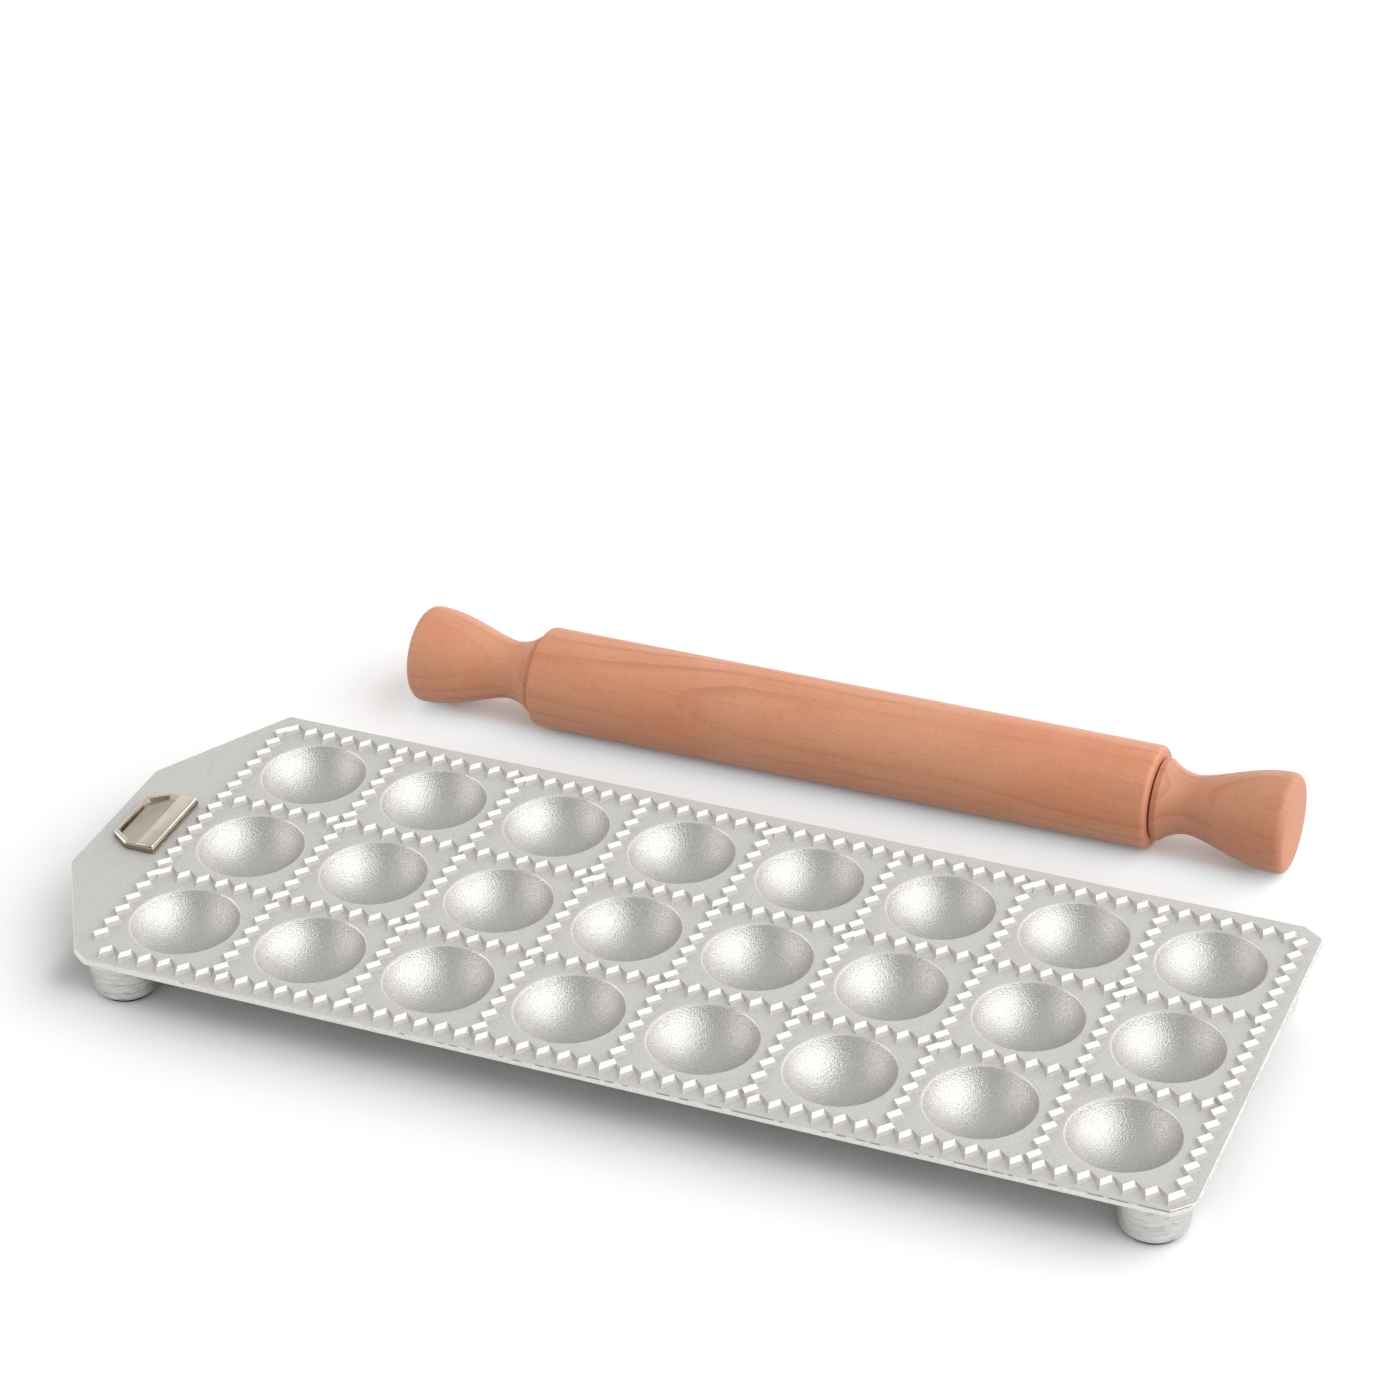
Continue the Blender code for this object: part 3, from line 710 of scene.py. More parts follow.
@dataclass(frozen=True)
class StudioPaper:
    """The white paper that the set stands on. It shows white to the camera and in gloss, and takes shadows.

    Attributes:
        name: The material's name.
        colour: The paper's colour to the camera and in gloss.
        bounce: The paper's colour where it lights the set from below.
        glow: The plain white that is added near the set and far from it.
        fade: The distances from the set's middle between which the glow grows.
        painted_veil: Painted light, plain white, that is added all round the tray, but not below it.
        veil_run: How far out of the tray's inner part that painted light reaches its full strength.
        depth: How dark the painted shadow makes the paper's colour right below the tray.
        painted_shadow_run: How far out of the tray's inner part the painted shadow fades back to the paper's own
            colour.
        tray_middle: The middle of the tray, along X and Y.
        tray_half: Half the length and width of the tray's inner part.
        pin_middle: The middle of the rolling pin, along X and Y.
        pin_half: Half the length of the line that the pin's veil follows.
        pin_veil: The light that is added beside the pin, where its wood would tint the paper too much.
        pin_tint: The colour of that light.
        pin_rise: The distances from the pin's line between which it sets in.
        pin_fall: The distances between which it fades out again.
        fibre_scale: How many fibres there are to a metre.
    """

    name: str
    colour: Colour = (0.95, 0.951, 0.954)
    bounce: Colour = (0.56, 0.56, 0.56)
    glow: Point2 = (0.0, 0.40)
    fade: Point2 = (0.24, 0.75)
    painted_veil: float = 0.06
    veil_run: float = 22.0 * MM
    depth: float = 0.70
    painted_shadow_run: float = 11.0 * MM
    tray_middle: Point2 = (0.0, -31.9 * MM)
    tray_half: Point2 = (154.0 * MM, 50.0 * MM)
    pin_middle: Point2 = (10.1 * MM, 79.8 * MM)
    pin_half: Point2 = (120.0 * MM, 0.0)
    pin_veil: float = 0.17
    pin_tint: Colour = (0.45, 0.86, 1.0)
    pin_rise: Point2 = (4.0 * MM, 10.0 * MM)
    pin_fall: Point2 = (13.0 * MM, 27.0 * MM)
    fibre_scale: float = 400.0

    def make(self) -> bpy.types.Material:
        """Build the finish.

        Returns:
            The material.
        """
        graph = FinishGraph(self.name, roughness=0.9, specular_ior_level=0.0)
        fibre = graph.grain(graph.place((self.fibre_scale,) * 3), detail=2.0)
        path = graph.node("LightPath")
        seen = graph.math("MAXIMUM", path.outputs["Is Camera Ray"], path.outputs["Is Glossy Ray"])
        seen = graph.math("MAXIMUM", seen, path.outputs["Is Transmission Ray"])
        out = self.out_of(graph, self.tray_middle, self.tray_half)
        # painted shadow: the paper's colour is darkened right below the tray
        paper_with_painted_shadow = graph.blend(graph.spread(out, 0.0, self.painted_shadow_run), toned(self.colour, self.depth), self.colour)
        graph.finish(graph.blend(seen, self.bounce, paper_with_painted_shadow), graph.spread(fibre, 0.3, 0.7, 0.85, 0.95))
        away = graph.node("VectorMath", operation="LENGTH")
        graph.feed(away.inputs[0], graph.place())
        # painted light: plain white added to the paper all round the tray
        painted_veil = graph.spread(out, 0.0, self.veil_run, 0.0, self.painted_veil)
        glow = graph.math("ADD", graph.spread(away.outputs["Value"], *self.fade, *self.glow), painted_veil)
        off = self.out_of(graph, self.pin_middle, self.pin_half)
        falling = graph.spread(off, *self.pin_fall, self.pin_veil, 0.0)
        beside = graph.math("MULTIPLY", graph.spread(off, *self.pin_rise), falling)
        surface = graph.shader.outputs[0]
        for tint, strength in (((1.0, 1.0, 1.0), glow), (self.pin_tint, beside)):
            light = graph.node("Emission")
            graph.feed(light.inputs["Color"], (*tint, 1.0))
            graph.feed(light.inputs["Strength"], graph.math("MULTIPLY", seen, strength))
            both = graph.node("AddShader")
            graph.feed(both.inputs[0], surface)
            graph.feed(both.inputs[1], light.outputs[0])
            surface = both.outputs[0]
        graph.feed(graph.tree.nodes["Material Output"].inputs["Surface"], surface)
        return graph.material

    def out_of(self, graph: FinishGraph, middle: Point2, half: Point2) -> Socket:
        """How far a point lies out of a level box.

        Args:
            graph: The paper's node tree.
            middle: The box's middle, along X and Y.
            half: Half its length and width.

        Returns:
            The distance.
        """
        away = graph.place(shift=(-middle[0], -middle[1], 0.0))
        steps = (("ABSOLUTE", (0.0, 0.0, 0.0)), ("SUBTRACT", (*half, 0.0)), ("MAXIMUM", (0.0, 0.0, 0.0)))
        for operation, other in steps:
            step = graph.node("VectorMath", operation=operation)
            graph.feed(step.inputs[0], away)
            graph.feed(step.inputs[1], other)
            away = step.outputs[0]
        length = graph.node("VectorMath", operation="LENGTH")
        graph.feed(length.inputs[0], away)
        return length.outputs["Value"]


# ---------------------------------------------------------------- shaping


def make_piece(name: str, mesh: bpy.types.Mesh, place: Sequence[float] = (0, 0, 0)) -> bpy.types.Object:
    """Put a mesh into the scene.

    Args:
        name: The piece's name.
        mesh: Its mesh.
        place: Where its own origin lies.

    Returns:
        The new object.
    """
    piece = bpy.data.objects.new(name, mesh)
    piece.location = place
    bpy.context.scene.collection.objects.link(piece)
    return piece


def dress(piece: bpy.types.Object, materials: Iterable[bpy.types.Material]) -> None:
    """Give a piece its materials, one for each slot.

    Args:
        piece: The piece.
        materials: The materials in the order of its slots.
    """
    piece.data.materials.clear()
    for material in materials:
        piece.data.materials.append(material)


def shade(mesh: bpy.types.Mesh, angle: float = 32.0) -> None:
    """Shade a mesh smooth and keep the edges that are sharper than an angle in degrees.

    Args:
        mesh: The mesh.
        angle: The angle in degrees.
    """
    mesh.shade_smooth()
    mesh.set_sharp_from_angle(angle=math.radians(angle))


def keep_level(mesh: bpy.types.Mesh) -> None:
    """Shade level faces flat, so that the rounding beside them doesn't run out over them.

    Args:
        mesh: The mesh.
    """
    for face in mesh.polygons:
        if abs(face.normal.z) > 0.99999:
            face.use_smooth = False


def close_form(name: str, form: bmesh.types.BMesh) -> bpy.types.Mesh:
    """Turn the faces of a closed form outwards and keep it as a mesh.

    Args:
        name: The mesh's name.
        form: The form. It is freed here.

    Returns:
        The closed mesh.
    """
    bmesh.ops.recalc_face_normals(form, faces=form.faces)
    mesh = bpy.data.meshes.new(name)
    form.to_mesh(mesh)
    form.free()
    return mesh


def arc(centre: Point2, radius: float, start: float, end: float, steps: int) -> Profile:
    """Points along an arc of a profile.

    Args:
        centre: The arc's centre.
        radius: Its radius.
        start: The angle of its first point, in degrees.
        end: The angle of its last point, in degrees.
        steps: How many straight pieces it has.

    Returns:
        The points.
    """
    angles = (math.radians(start + (end - start) * i / steps) for i in range(steps + 1))
    return [(centre[0] + radius * math.cos(angle), centre[1] + radius * math.sin(angle)) for angle in angles]


def turn(name: str, profile: Profile, sides: int, closed: bool = False) -> bpy.types.Mesh:
    """Turn a profile of (radius, height) points round the Z axis.

    Args:
        name: The mesh's name.
        profile: The points. A radius of 0 is a point on the axis.
        sides: How many sides the turned form has.
        closed: Whether the last point joins the first, as on a ring.

    Returns:
        The closed mesh.
    """
    form = bmesh.new()
    rings = []
    for radius, height in profile:
        if radius == 0.0:
            rings.append([form.verts.new((0.0, 0.0, height))])
            continue
        angles = (2 * math.pi * i / sides for i in range(sides))
        rings.append([form.verts.new((radius * math.cos(a), radius * math.sin(a), height)) for a in angles])
    pairs = list(zip(rings, rings[1:]))
    if closed:
        pairs.append((rings[-1], rings[0]))
    for upper, lower in pairs:
        for i in range(sides):
            k = (i + 1) % sides
            corners = [upper[i % len(upper)], upper[k % len(upper)], lower[k % len(lower)], lower[i % len(lower)]]
            form.faces.new(list(dict.fromkeys(corners)))
    return close_form(name, form)


def loft(name: str, rings: Sequence[Sequence[Sequence[float]]]) -> bpy.types.Mesh:
    """Join closed rings of points, each with as many points, and cap both ends.

    Args:
        name: The mesh's name.
        rings: The rings from one end to the other.

    Returns:
        The closed mesh.
    """
    form = bmesh.new()
    loops = [[form.verts.new(point) for point in ring] for ring in rings]
    count = len(loops[0])
    for lower, upper in zip(loops, loops[1:]):
        for i in range(count):
            k = (i + 1) % count
            form.faces.new((lower[i], lower[k], upper[k], upper[i]))
    form.faces.new(loops[0])
    form.faces.new(loops[-1])
    return close_form(name, form)


def round_corners(outline: Sequence[Point2], radii: Sequence[float], steps: int = 6) -> Profile:
    """Round the corners of a convex outline that runs anticlockwise.

    Args:
        outline: The corners.
        radii: The radius at each corner.
        steps: How many straight pieces each corner has.

    Returns:
        The rounded outline.
    """
    points: Profile = []
    for i, corner in enumerate(outline):
        here = Vector(corner)
        before = (Vector(outline[i - 1]) - here).normalized()
        after = (Vector(outline[(i + 1) % len(outline)]) - here).normalized()
        half = before.angle(after) / 2
        centre = here + (before + after).normalized() * (radii[i] / math.sin(half))
        start = here + before * (radii[i] / math.tan(half)) - centre
        sweep = math.pi - 2 * half
        for k in range(steps + 1):
            spoke = start.copy()
            spoke.rotate(Matrix.Rotation(sweep * k / steps, 2))
            points.append(tuple(centre + spoke))
    return points


def inset(outline: Sequence[Point2], distance: float) -> Profile:
    """Move a convex anticlockwise outline inwards.

    Args:
        outline: The outline's points.
        distance: How far each side moves.

    Returns:
        The moved points.
    """
    moved: Profile = []
    count = len(outline)
    for i in range(count):
        here = Vector(outline[i])
        along_in = (here - Vector(outline[i - 1])).normalized()
        along_out = (Vector(outline[(i + 1) % count]) - here).normalized()
        inward_in = Vector((-along_in.y, along_in.x))
        inward_out = Vector((-along_out.y, along_out.x))
        mean = inward_in + inward_out
        moved.append(tuple(here + mean * (distance / (1.0 + inward_in.dot(inward_out)))))
    return moved


def soft_ring(outline: Sequence[Point2], depth: float, radius: float, height: float) -> list[tuple[float, ...]]:
    """A level ring inside a convex outline, with rounded corners of its own.

    Args:
        outline: The sharp outline.
        depth: How far inside it the ring runs.
        radius: The radius of its corners.
        height: Its height.

    Returns:
        The ring's points.
    """
    moved = inset(outline, depth)
    return [(x, y, height) for x, y in round_corners(moved, [radius] * len(moved), 5)]


def subdivide(outline: Sequence[Point2], length: float) -> Profile:
    """Split the long sides of a closed outline.

    Args:
        outline: The outline's points.
        length: The longest side that is left whole.

    Returns:
        The finer outline.
    """
    points: Profile = []
    for i, corner in enumerate(outline):
        start, end = Vector(corner), Vector(outline[(i + 1) % len(outline)])
        pieces = max(1, math.ceil((end - start).length / length))
        points += [tuple(start.lerp(end, k / pieces)) for k in range(pieces)]
    return points


def combine(piece: bpy.types.Object, forms: Iterable[bpy.types.Object], join: Join) -> None:
    """Join forms to a piece or cut them from it, and delete them.

    Args:
        piece: The piece whose mesh changes.
        forms: The other closed forms.
        join: Whether they are joined or cut.
    """
    group = bpy.data.collections.new(join.name.lower())
    bpy.context.scene.collection.children.link(group)
    for form in forms:
        group.objects.link(form)
    modifier = piece.modifiers.new(join.name.lower(), "BOOLEAN")
    modifier.operation = join.value
    modifier.operand_type = "COLLECTION"
    modifier.collection = group
    modifier.solver = "MANIFOLD"
    mesh = bpy.data.meshes.new_from_object(piece.evaluated_get(bpy.context.evaluated_depsgraph_get()))
    piece.modifiers.clear()
    piece.data = mesh
    for form in list(group.objects):
        bpy.data.objects.remove(form)
    bpy.data.collections.remove(group)


# ---------------------------------------------------------------- the tray


@dataclass
class Tray:
    """The cast tray: a plate with a rounded rim, 24 pockets, zigzag ridges and four foot bosses.

    Attributes:
        cell: The side of the square that holds one pocket.
        columns: How many pockets there are along X.
        rows: How many pockets there are along Y.
        left: Where the tongue ends.
        right: Where the plate ends on the right.
        front: Where the plate ends at the front.
        back: Where the plate ends at the back.
        field_corner: The front left corner of the pockets' field.
        top: The height of the plate's upper side.
        thickness: The plate's thickness.
        pocket_radius: The radius of a pocket at the plate.
        pocket_depth: The depth of a pocket.
        pocket_wall: The wall under a pocket.
        rim_round: The radius of the soft edge round a pocket.
        dome_fillet: The radius between a pocket's outside and the plate.
        seam_from: How far from the tongue's end the parting line starts to close up.
        seam_run: Over what length it closes.
        seam_depth: How far it is sunk into the plate's edge.
        seam_band: How far below the top it lies.
        seam_shade_threshold: How far it has to be open to take the darker finish, a painted shade in the groove.
        tongue_end: The width of the tongue's end.
        tongue_run: How far the tongue's slanted sides reach along X.
        tooth_rise: How far the teeth stand above the plate.
        foot_top: The radius of a foot at the plate.
        foot_bottom: The radius of a foot at its lower edge.
        foot_round: The radius of that edge.
        foot_clear: How far a foot stays above the table.
        foot_fillet: The radius between a foot and the plate.
        pad_seat: The radius and depth of the seat that a pad sits in.
        root: How far the forms under the plate reach up into it.
        feet_x: Where the feet stand along X.
        feet_y: Where the feet stand along Y.
        corner_radii: The radius of each corner of the outline, in millimetres.
        lower_edge: The rounded lower edge, as distance inwards and height above the underside, in millimetres.
        upper_edge: The side above it, as distance inwards and depth below the top, in millimetres.
        seam_edge: The parting line's edges, in the same way.
        lip_edge: The uneven lip above it, in the same way and with the share of its unevenness.
        piece: The finished casting.
    """

    cell: float = 38.0 * MM
    columns: int = 8
    rows: int = 3
    left: float = -167.15 * MM
    right: float = 167.15 * MM
    front: float = -94.67 * MM
    back: float = 30.93 * MM
    field_corner: Point2 = (-142.65 * MM, -88.87 * MM)
    top: float = 17.4 * MM
    thickness: float = 2.2 * MM
    pocket_radius: float = 14.95 * MM
    pocket_depth: float = 10.0 * MM
    pocket_wall: float = 2.2 * MM
    rim_round: float = 0.85 * MM
    dome_fillet: float = 1.4 * MM
    seam_from: float = 150.0 * MM
    seam_run: float = 90.0 * MM
    seam_depth: float = 0.12 * MM
    seam_band: Point2 = (0.12 * MM, 0.53 * MM)
    seam_shade_threshold: float = 0.45
    tongue_end: float = 48.2 * MM
    tongue_run: float = 23.0 * MM
    tooth_rise: float = 1.1 * MM
    foot_top: float = 10.5 * MM
    foot_bottom: float = 9.2 * MM
    foot_round: float = 1.7 * MM
    foot_clear: float = 0.9 * MM
    foot_fillet: float = 1.1 * MM
    pad_seat: Point2 = (6.9 * MM, 1.0 * MM)
    root: float = 0.8 * MM
    feet_x: Point2 = (-137.0 * MM, 154.05 * MM)
    feet_y: Point2 = (-80.87 * MM, 17.13 * MM)
    corner_radii: tuple[float, ...] = (1.2, 2.5, 2.5, 0.9, 0.9, 1.2, 1.2, 1.6, 1.2)
    lower_edge: tuple[Point2, ...] = ((0.75, 0.0), (0.28, 0.10), (0.05, 0.35), (0.00, 0.80))
    upper_edge: tuple[Point2, ...] = ((0.00, 0.72), (0.03, 0.52))
    seam_edge: tuple[Point2, ...] = ((0.06, 0.47), (0.06, 0.23))
    lip_edge: tuple[Point3, ...] = ((0.10, 0.16, 1.0), (0.22, 0.03, 1.0), (0.40, 0.0, 0.6), (0.62, 0.0, 0.0))
    piece: bpy.types.Object | None = field(default=None, repr=False)

    @property
    def middle(self) -> float:
        """The tray's middle line in Y."""
        return (self.front + self.back) / 2

    @property
    def bottom(self) -> float:
        """The height of the plate's underside."""
        return self.top - self.thickness

    @property
    def sphere(self) -> float:
        """The radius of the sphere that a pocket is part of."""
        return (self.pocket_radius**2 + self.pocket_depth**2) / (2 * self.pocket_depth)

    @property
    def sphere_height(self) -> float:
        """The height of that sphere's centre."""
        return self.top - self.pocket_depth + self.sphere

    def pocket_centres(self) -> list[Point2]:
        """The middle of each pocket, row by row from the front.

        Returns:
            The points.
        """
        x, y = self.field_corner
        return [
            (x + (column + 0.5) * self.cell, y + (row + 0.5) * self.cell)
            for row in range(self.rows)
            for column in range(self.columns)
        ]

    def foot_place(self, foot: Foot) -> Point2:
        """Where a foot stands.

        Args:
            foot: The foot.

        Returns:
            The point.
        """
        return self.feet_x[foot.value[0] > 0], self.feet_y[foot.value[1] > 0]

    def outline(self) -> Profile:
        """The plate's edge with its corners softened, anticlockwise.

        Returns:
            The points.
        """
        shoulder = self.left + self.tongue_run
        half = self.tongue_end / 2
        corners = [
            (self.left, self.middle - half),
            (shoulder - 1.5 * MM, self.front + 3.0 * MM),
            (shoulder + 3.0 * MM, self.front),
            (self.right - 5.3 * MM, self.front),
            (self.right, self.front + 5.3 * MM),
            (self.right, self.back - 4.0 * MM),
            (self.right - 5.9 * MM, self.back),
            (shoulder, self.back),
            (self.left, self.middle + half),
        ]
        radii = [radius * MM for radius in self.corner_radii]
        return subdivide(round_corners(corners, radii), 1.3 * MM)

    def plate(self) -> bpy.types.Object:
        """The plate alone, with a rounded lower edge and an uneven parting line just below the upper one.

        Returns:
            The plate.
        """
        outline = self.outline()
        steps = [(depth, self.bottom + rise * MM) for depth, rise in self.lower_edge]
        steps += [(depth, self.top - drop * MM) for depth, drop in self.upper_edge]
        rings = [[(x, y, height) for x, y in inset(outline, depth * MM)] for depth, height in steps]
        sunk = [self.seam(x, y) for x, y in outline]
        for depth, drop in self.seam_edge:
            deep = inset(outline, depth * MM + self.seam_depth)
            flat = inset(outline, depth * MM)
            mixed = (Vector(out).lerp(Vector(back), share) for out, back, share in zip(flat, deep, sunk))
            rings.append([(x, y, self.top - drop * MM) for x, y in mixed])
        lip = [self.flash(x, y) for x, y in outline]
        for depth, drop, share in self.lip_edge:
            ring = inset(outline, depth * MM)
            rings.append([(x, y, self.top - drop * MM + rise * share) for (x, y), rise in zip(ring, lip)])
        return make_piece("mould_casting_fine", loft("mould_casting_fine", rings))

    def seam(self, x: float, y: float) -> float:
        """How far the broken parting line is open at a point of the edge.

        Args:
            x: The point's X.
            y: The point's Y.

        Returns:
            The share of its full depth.
        """
        slow = noise.noise(Vector((x, y, 1.9)) * 60.0)
        quick = noise.noise(Vector((x, y, 2.7)) * 430.0)
        closed = min(1.0, max(0.0, (self.seam_from - (x - self.left)) / self.seam_run))
        return min(1.0, max(0.0, 0.46 + 1.0 * slow + 1.6 * quick - 0.9 * closed))

    def flash(self, x: float, y: float) -> float:
        """How far the parting line stands up at a point of the edge.

        Args:
            x: The point's X.
            y: The point's Y.

        Returns:
            The height, which may be a little below 0.
        """
        slow = noise.noise(Vector((x, y, 0.3)) * 45.0)
        quick = noise.noise(Vector((x, y, 0.7)) * 420.0)
        return (0.02 + 0.04 * slow + 0.05 * quick) * MM

    def bowl_profile(self) -> Profile:
        """The cutter of a pocket: the sphere, the soft rim and a straight part above the plate.

        Returns:
            The points from the bottom up.
        """
        slope = math.asin(self.pocket_radius / self.sphere)
        reach = self.rim_round * math.tan(slope / 2)
        centre = (self.pocket_radius + reach, self.top - self.rim_round)
        leave = math.asin((centre[0] - self.rim_round * math.sin(slope)) / self.sphere)
        rings = 22
        points = [
            (self.sphere * math.sin(leave * i / rings), self.sphere_height - self.sphere * math.cos(leave * i / rings))
            for i in range(rings + 1)
        ]
        points += arc(centre, self.rim_round, 90 + math.degrees(slope), 96.0, 7)[1:]
        last = points[-1][0] + 0.05 * MM
        points += [(last, self.top + 0.001 * MM), (last + 0.002 * MM, self.top + 3 * MM), (0.0, self.top + 3 * MM)]
        return points

    def dome_profile(self) -> Profile:
        """The outside of a pocket with a fillet at the plate's underside.

        Returns:
            The points from the bottom up.
        """
        outer = self.sphere + self.pocket_wall
        bottom, fillet = self.bottom, self.dome_fillet
        drop = self.sphere_height - (bottom - fillet)
        side = math.sqrt((outer + fillet) ** 2 - drop**2)
        leave = math.atan2(side, drop)
        rings = 18
        points = [
            (outer * math.sin(leave * i / rings), self.sphere_height - outer * math.cos(leave * i / rings))
            for i in range(rings + 1)
        ]
        points += arc((side, bottom - fillet), fillet, 90 + math.degrees(leave), 94.0, 6)[1:]
        last = points[-1][0]
        return points + [(last, bottom + self.root), (0.0, bottom + self.root)]

    def boss_profile(self) -> Profile:
        """A foot with a fillet at the plate, a rounded lower edge and the seat of its pad.

        Returns:
            The points from the top down.
        """
        bottom, low, fillet = self.bottom, self.foot_clear, self.foot_fillet
        seat, seat_top = self.pad_seat[0], low + self.pad_seat[1]
        points = [(0.0, bottom + self.root), (self.foot_top + fillet, bottom + self.root)]
        points += arc((self.foot_top + fillet, bottom - fillet), fillet, 94, 180, 6)
        points += arc((self.foot_bottom - self.foot_round, low + self.foot_round), self.foot_round, -4, -90, 8)
        return points + [(seat + 0.05 * MM, low), (seat, seat_top), (0.0, seat_top)]

    def badge_holes(self) -> list[bpy.types.Object]:
        """The cutters of the two holes that the badge's pegs pass into.

        Returns:
            The cutters.
        """
        reach = 3 * MM
        profile = [(0.0, -reach), (Badge.peg_hole, -reach), (Badge.peg_hole, reach), (0.0, reach)]
        hole = turn("badge_hole", profile, 24)
        x = Badge.from_left + self.left
        places = [(x, self.middle + side * Badge.peg_side, self.top) for side in (-1, 1)]
        return [make_piece("badge_hole", hole, place) for place in places]

    def build(self) -> bpy.types.Object:
        """Make the casting.

        Returns:
            The casting.
        """
        casting = self.plate()
        dome = turn("dome", self.dome_profile(), 96)
        boss = turn("boss", self.boss_profile(), 72)
        bowl = turn("bowl", self.bowl_profile(), 96)
        forms = [make_piece("dome", dome, (x, y, 0)) for x, y in self.pocket_centres()]
        forms += [make_piece("boss", boss, (*self.foot_place(foot), 0)) for foot in Foot]
        forms += Ridges(self).build()
        combine(casting, forms, Join.UNION)
        bowls = [make_piece("bowl", bowl, (x, y, 0)) for x, y in self.pocket_centres()]
        combine(casting, bowls + self.badge_holes(), Join.DIFFERENCE)
        casting.data.name = "mould_casting_fine"
        shade(casting.data, 28.0)
        keep_level(casting.data)
        weights = casting.modifiers.new("flat_faces_first", "WEIGHTED_NORMAL")
        weights.keep_sharp = True
        self.piece = casting
        return casting

    def sort_faces(self, mesh: bpy.types.Mesh) -> None:
        """Give each face of the casting the slot of its finish.

        Args:
            mesh: The casting's mesh.
        """
        x0, y0 = self.field_corner
        slope = math.asin(self.pocket_radius / self.sphere)
        reach = self.pocket_radius + self.rim_round * (math.tan(slope / 2) - math.sin(slope)) + 0.03 * MM
        past_rim = self.pocket_radius + 1.0 * MM
        for face in mesh.polygons:
            spot = face.center
            column = min(self.columns - 1, max(0, int((spot.x - x0) / self.cell)))
            row = min(self.rows - 1, max(0, int((spot.y - y0) / self.cell)))
            centre = (x0 + (column + 0.5) * self.cell, y0 + (row + 0.5) * self.cell)
            away = math.hypot(spot.x - centre[0], spot.y - centre[1])
            kind = CastingFace.PLATE
            if spot.z > self.top + self.tooth_rise - HAIR and face.normal.z > 0.99:
                kind = CastingFace.MILLED
            elif spot.z > self.top + 0.05 * MM:
                kind = CastingFace.FLANK
            elif away < reach and face.normal.z > 0.02 and spot.z < self.top - 0.002 * MM:
                kind = CastingFace.POCKET
            # painted highlight: the half of each pocket's lip whose faces point left takes the brighter edge finish
            elif away < past_rim and 0.02 < face.normal.z < 0.97 and face.normal.x < -0.15:
                kind = CastingFace.EDGE
            elif spot.z < self.bottom - 0.2 * MM and self.near_foot(spot):
                kind = CastingFace.FOOT
            elif self.bottom + HAIR < spot.z < self.top - HAIR and away > past_rim:
                # painted shade: the open part of the parting line takes a darker finish
                kind = CastingFace.SEAM if self.seam_open(face, mesh) else CastingFace.EDGE
            face.material_index = kind.value

    def seam_open(self, face: bpy.types.MeshPolygon, mesh: bpy.types.Mesh) -> bool:
        """Whether a face lies in the open part of the parting line.

        Args:
            face: The face.
            mesh: The casting's mesh.

        Returns:
            True in the parting line.
        """
        drops = [self.top - mesh.vertices[i].co.z for i in face.vertices]
        spot, (high, low) = face.center, self.seam_band
        return high < min(drops) and max(drops) < low and self.seam(spot.x, spot.y) > self.seam_shade_threshold

    def near_foot(self, spot: Vector) -> bool:
        """Whether a point lies on one of the foot bosses.

        Args:
            spot: The point.

        Returns:
            True on a boss.
        """
        places = [self.foot_place(foot) for foot in Foot]
        return any(math.hypot(spot.x - x, spot.y - y) < self.foot_top + 1.0 * MM for x, y in places)

    def dress(self) -> None:
        """Give the casting its finishes and let it stand for the CAD casting."""
        finishes = {
            CastingFace.PLATE: BlastedAluminium("plate_aluminium"),
            CastingFace.POCKET: BlastedAluminium(
                "pocket_aluminium",
                colour=(0.618, 0.605, 0.578),
                stain=(0.58, 0.562, 0.53),
                roughness=0.32,
                grain=0.39 * MM,
                tooth=0.16 * MM,
                wave=0.0,
                metallic=0.68,
            ),
            CastingFace.MILLED: MilledAluminium("milled_teeth"),
            CastingFace.FOOT: FootAluminium("foot_aluminium"),
            # the bright edge finish is the side band's own finish and a painted highlight on one half of each pocket
            # lip
            CastingFace.EDGE: BlastedAluminium(
                "edge_and_lip_highlight_aluminium",
                colour=(0.78, 0.77, 0.74),
                stain=(0.72, 0.70, 0.66),
                roughness=0.42,
                grain=0.55 * MM,
                tooth=0.05 * MM,
                wave=0.08 * MM,
                metallic=0.8,
            ),
            # the parting line's darker finish is painted shade in its groove
            CastingFace.SEAM: BlastedAluminium(
                "seam_painted_shade_aluminium",
                colour=(0.47, 0.45, 0.42),
                stain=(0.37, 0.35, 0.32),
                roughness=0.62,
                grain=0.40 * MM,
                tooth=0.06 * MM,
                wave=0.05 * MM,
                metallic=0.5,
            ),
            CastingFace.FLANK: BlastedAluminium(
                "flank_aluminium",
                colour=(0.57, 0.555, 0.52),
                stain=(0.51, 0.485, 0.44),
                roughness=0.62,
                grain=0.40 * MM,
                tooth=0.06 * MM,
                wave=0.04 * MM,
                metallic=0.15,
            ),
        }
        dress(self.piece, (finishes[kind].make() for kind in CastingFace))
        self.sort_faces(self.piece.data)
        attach(self.piece, Body.MOULD.value)
        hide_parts("mould_casting")


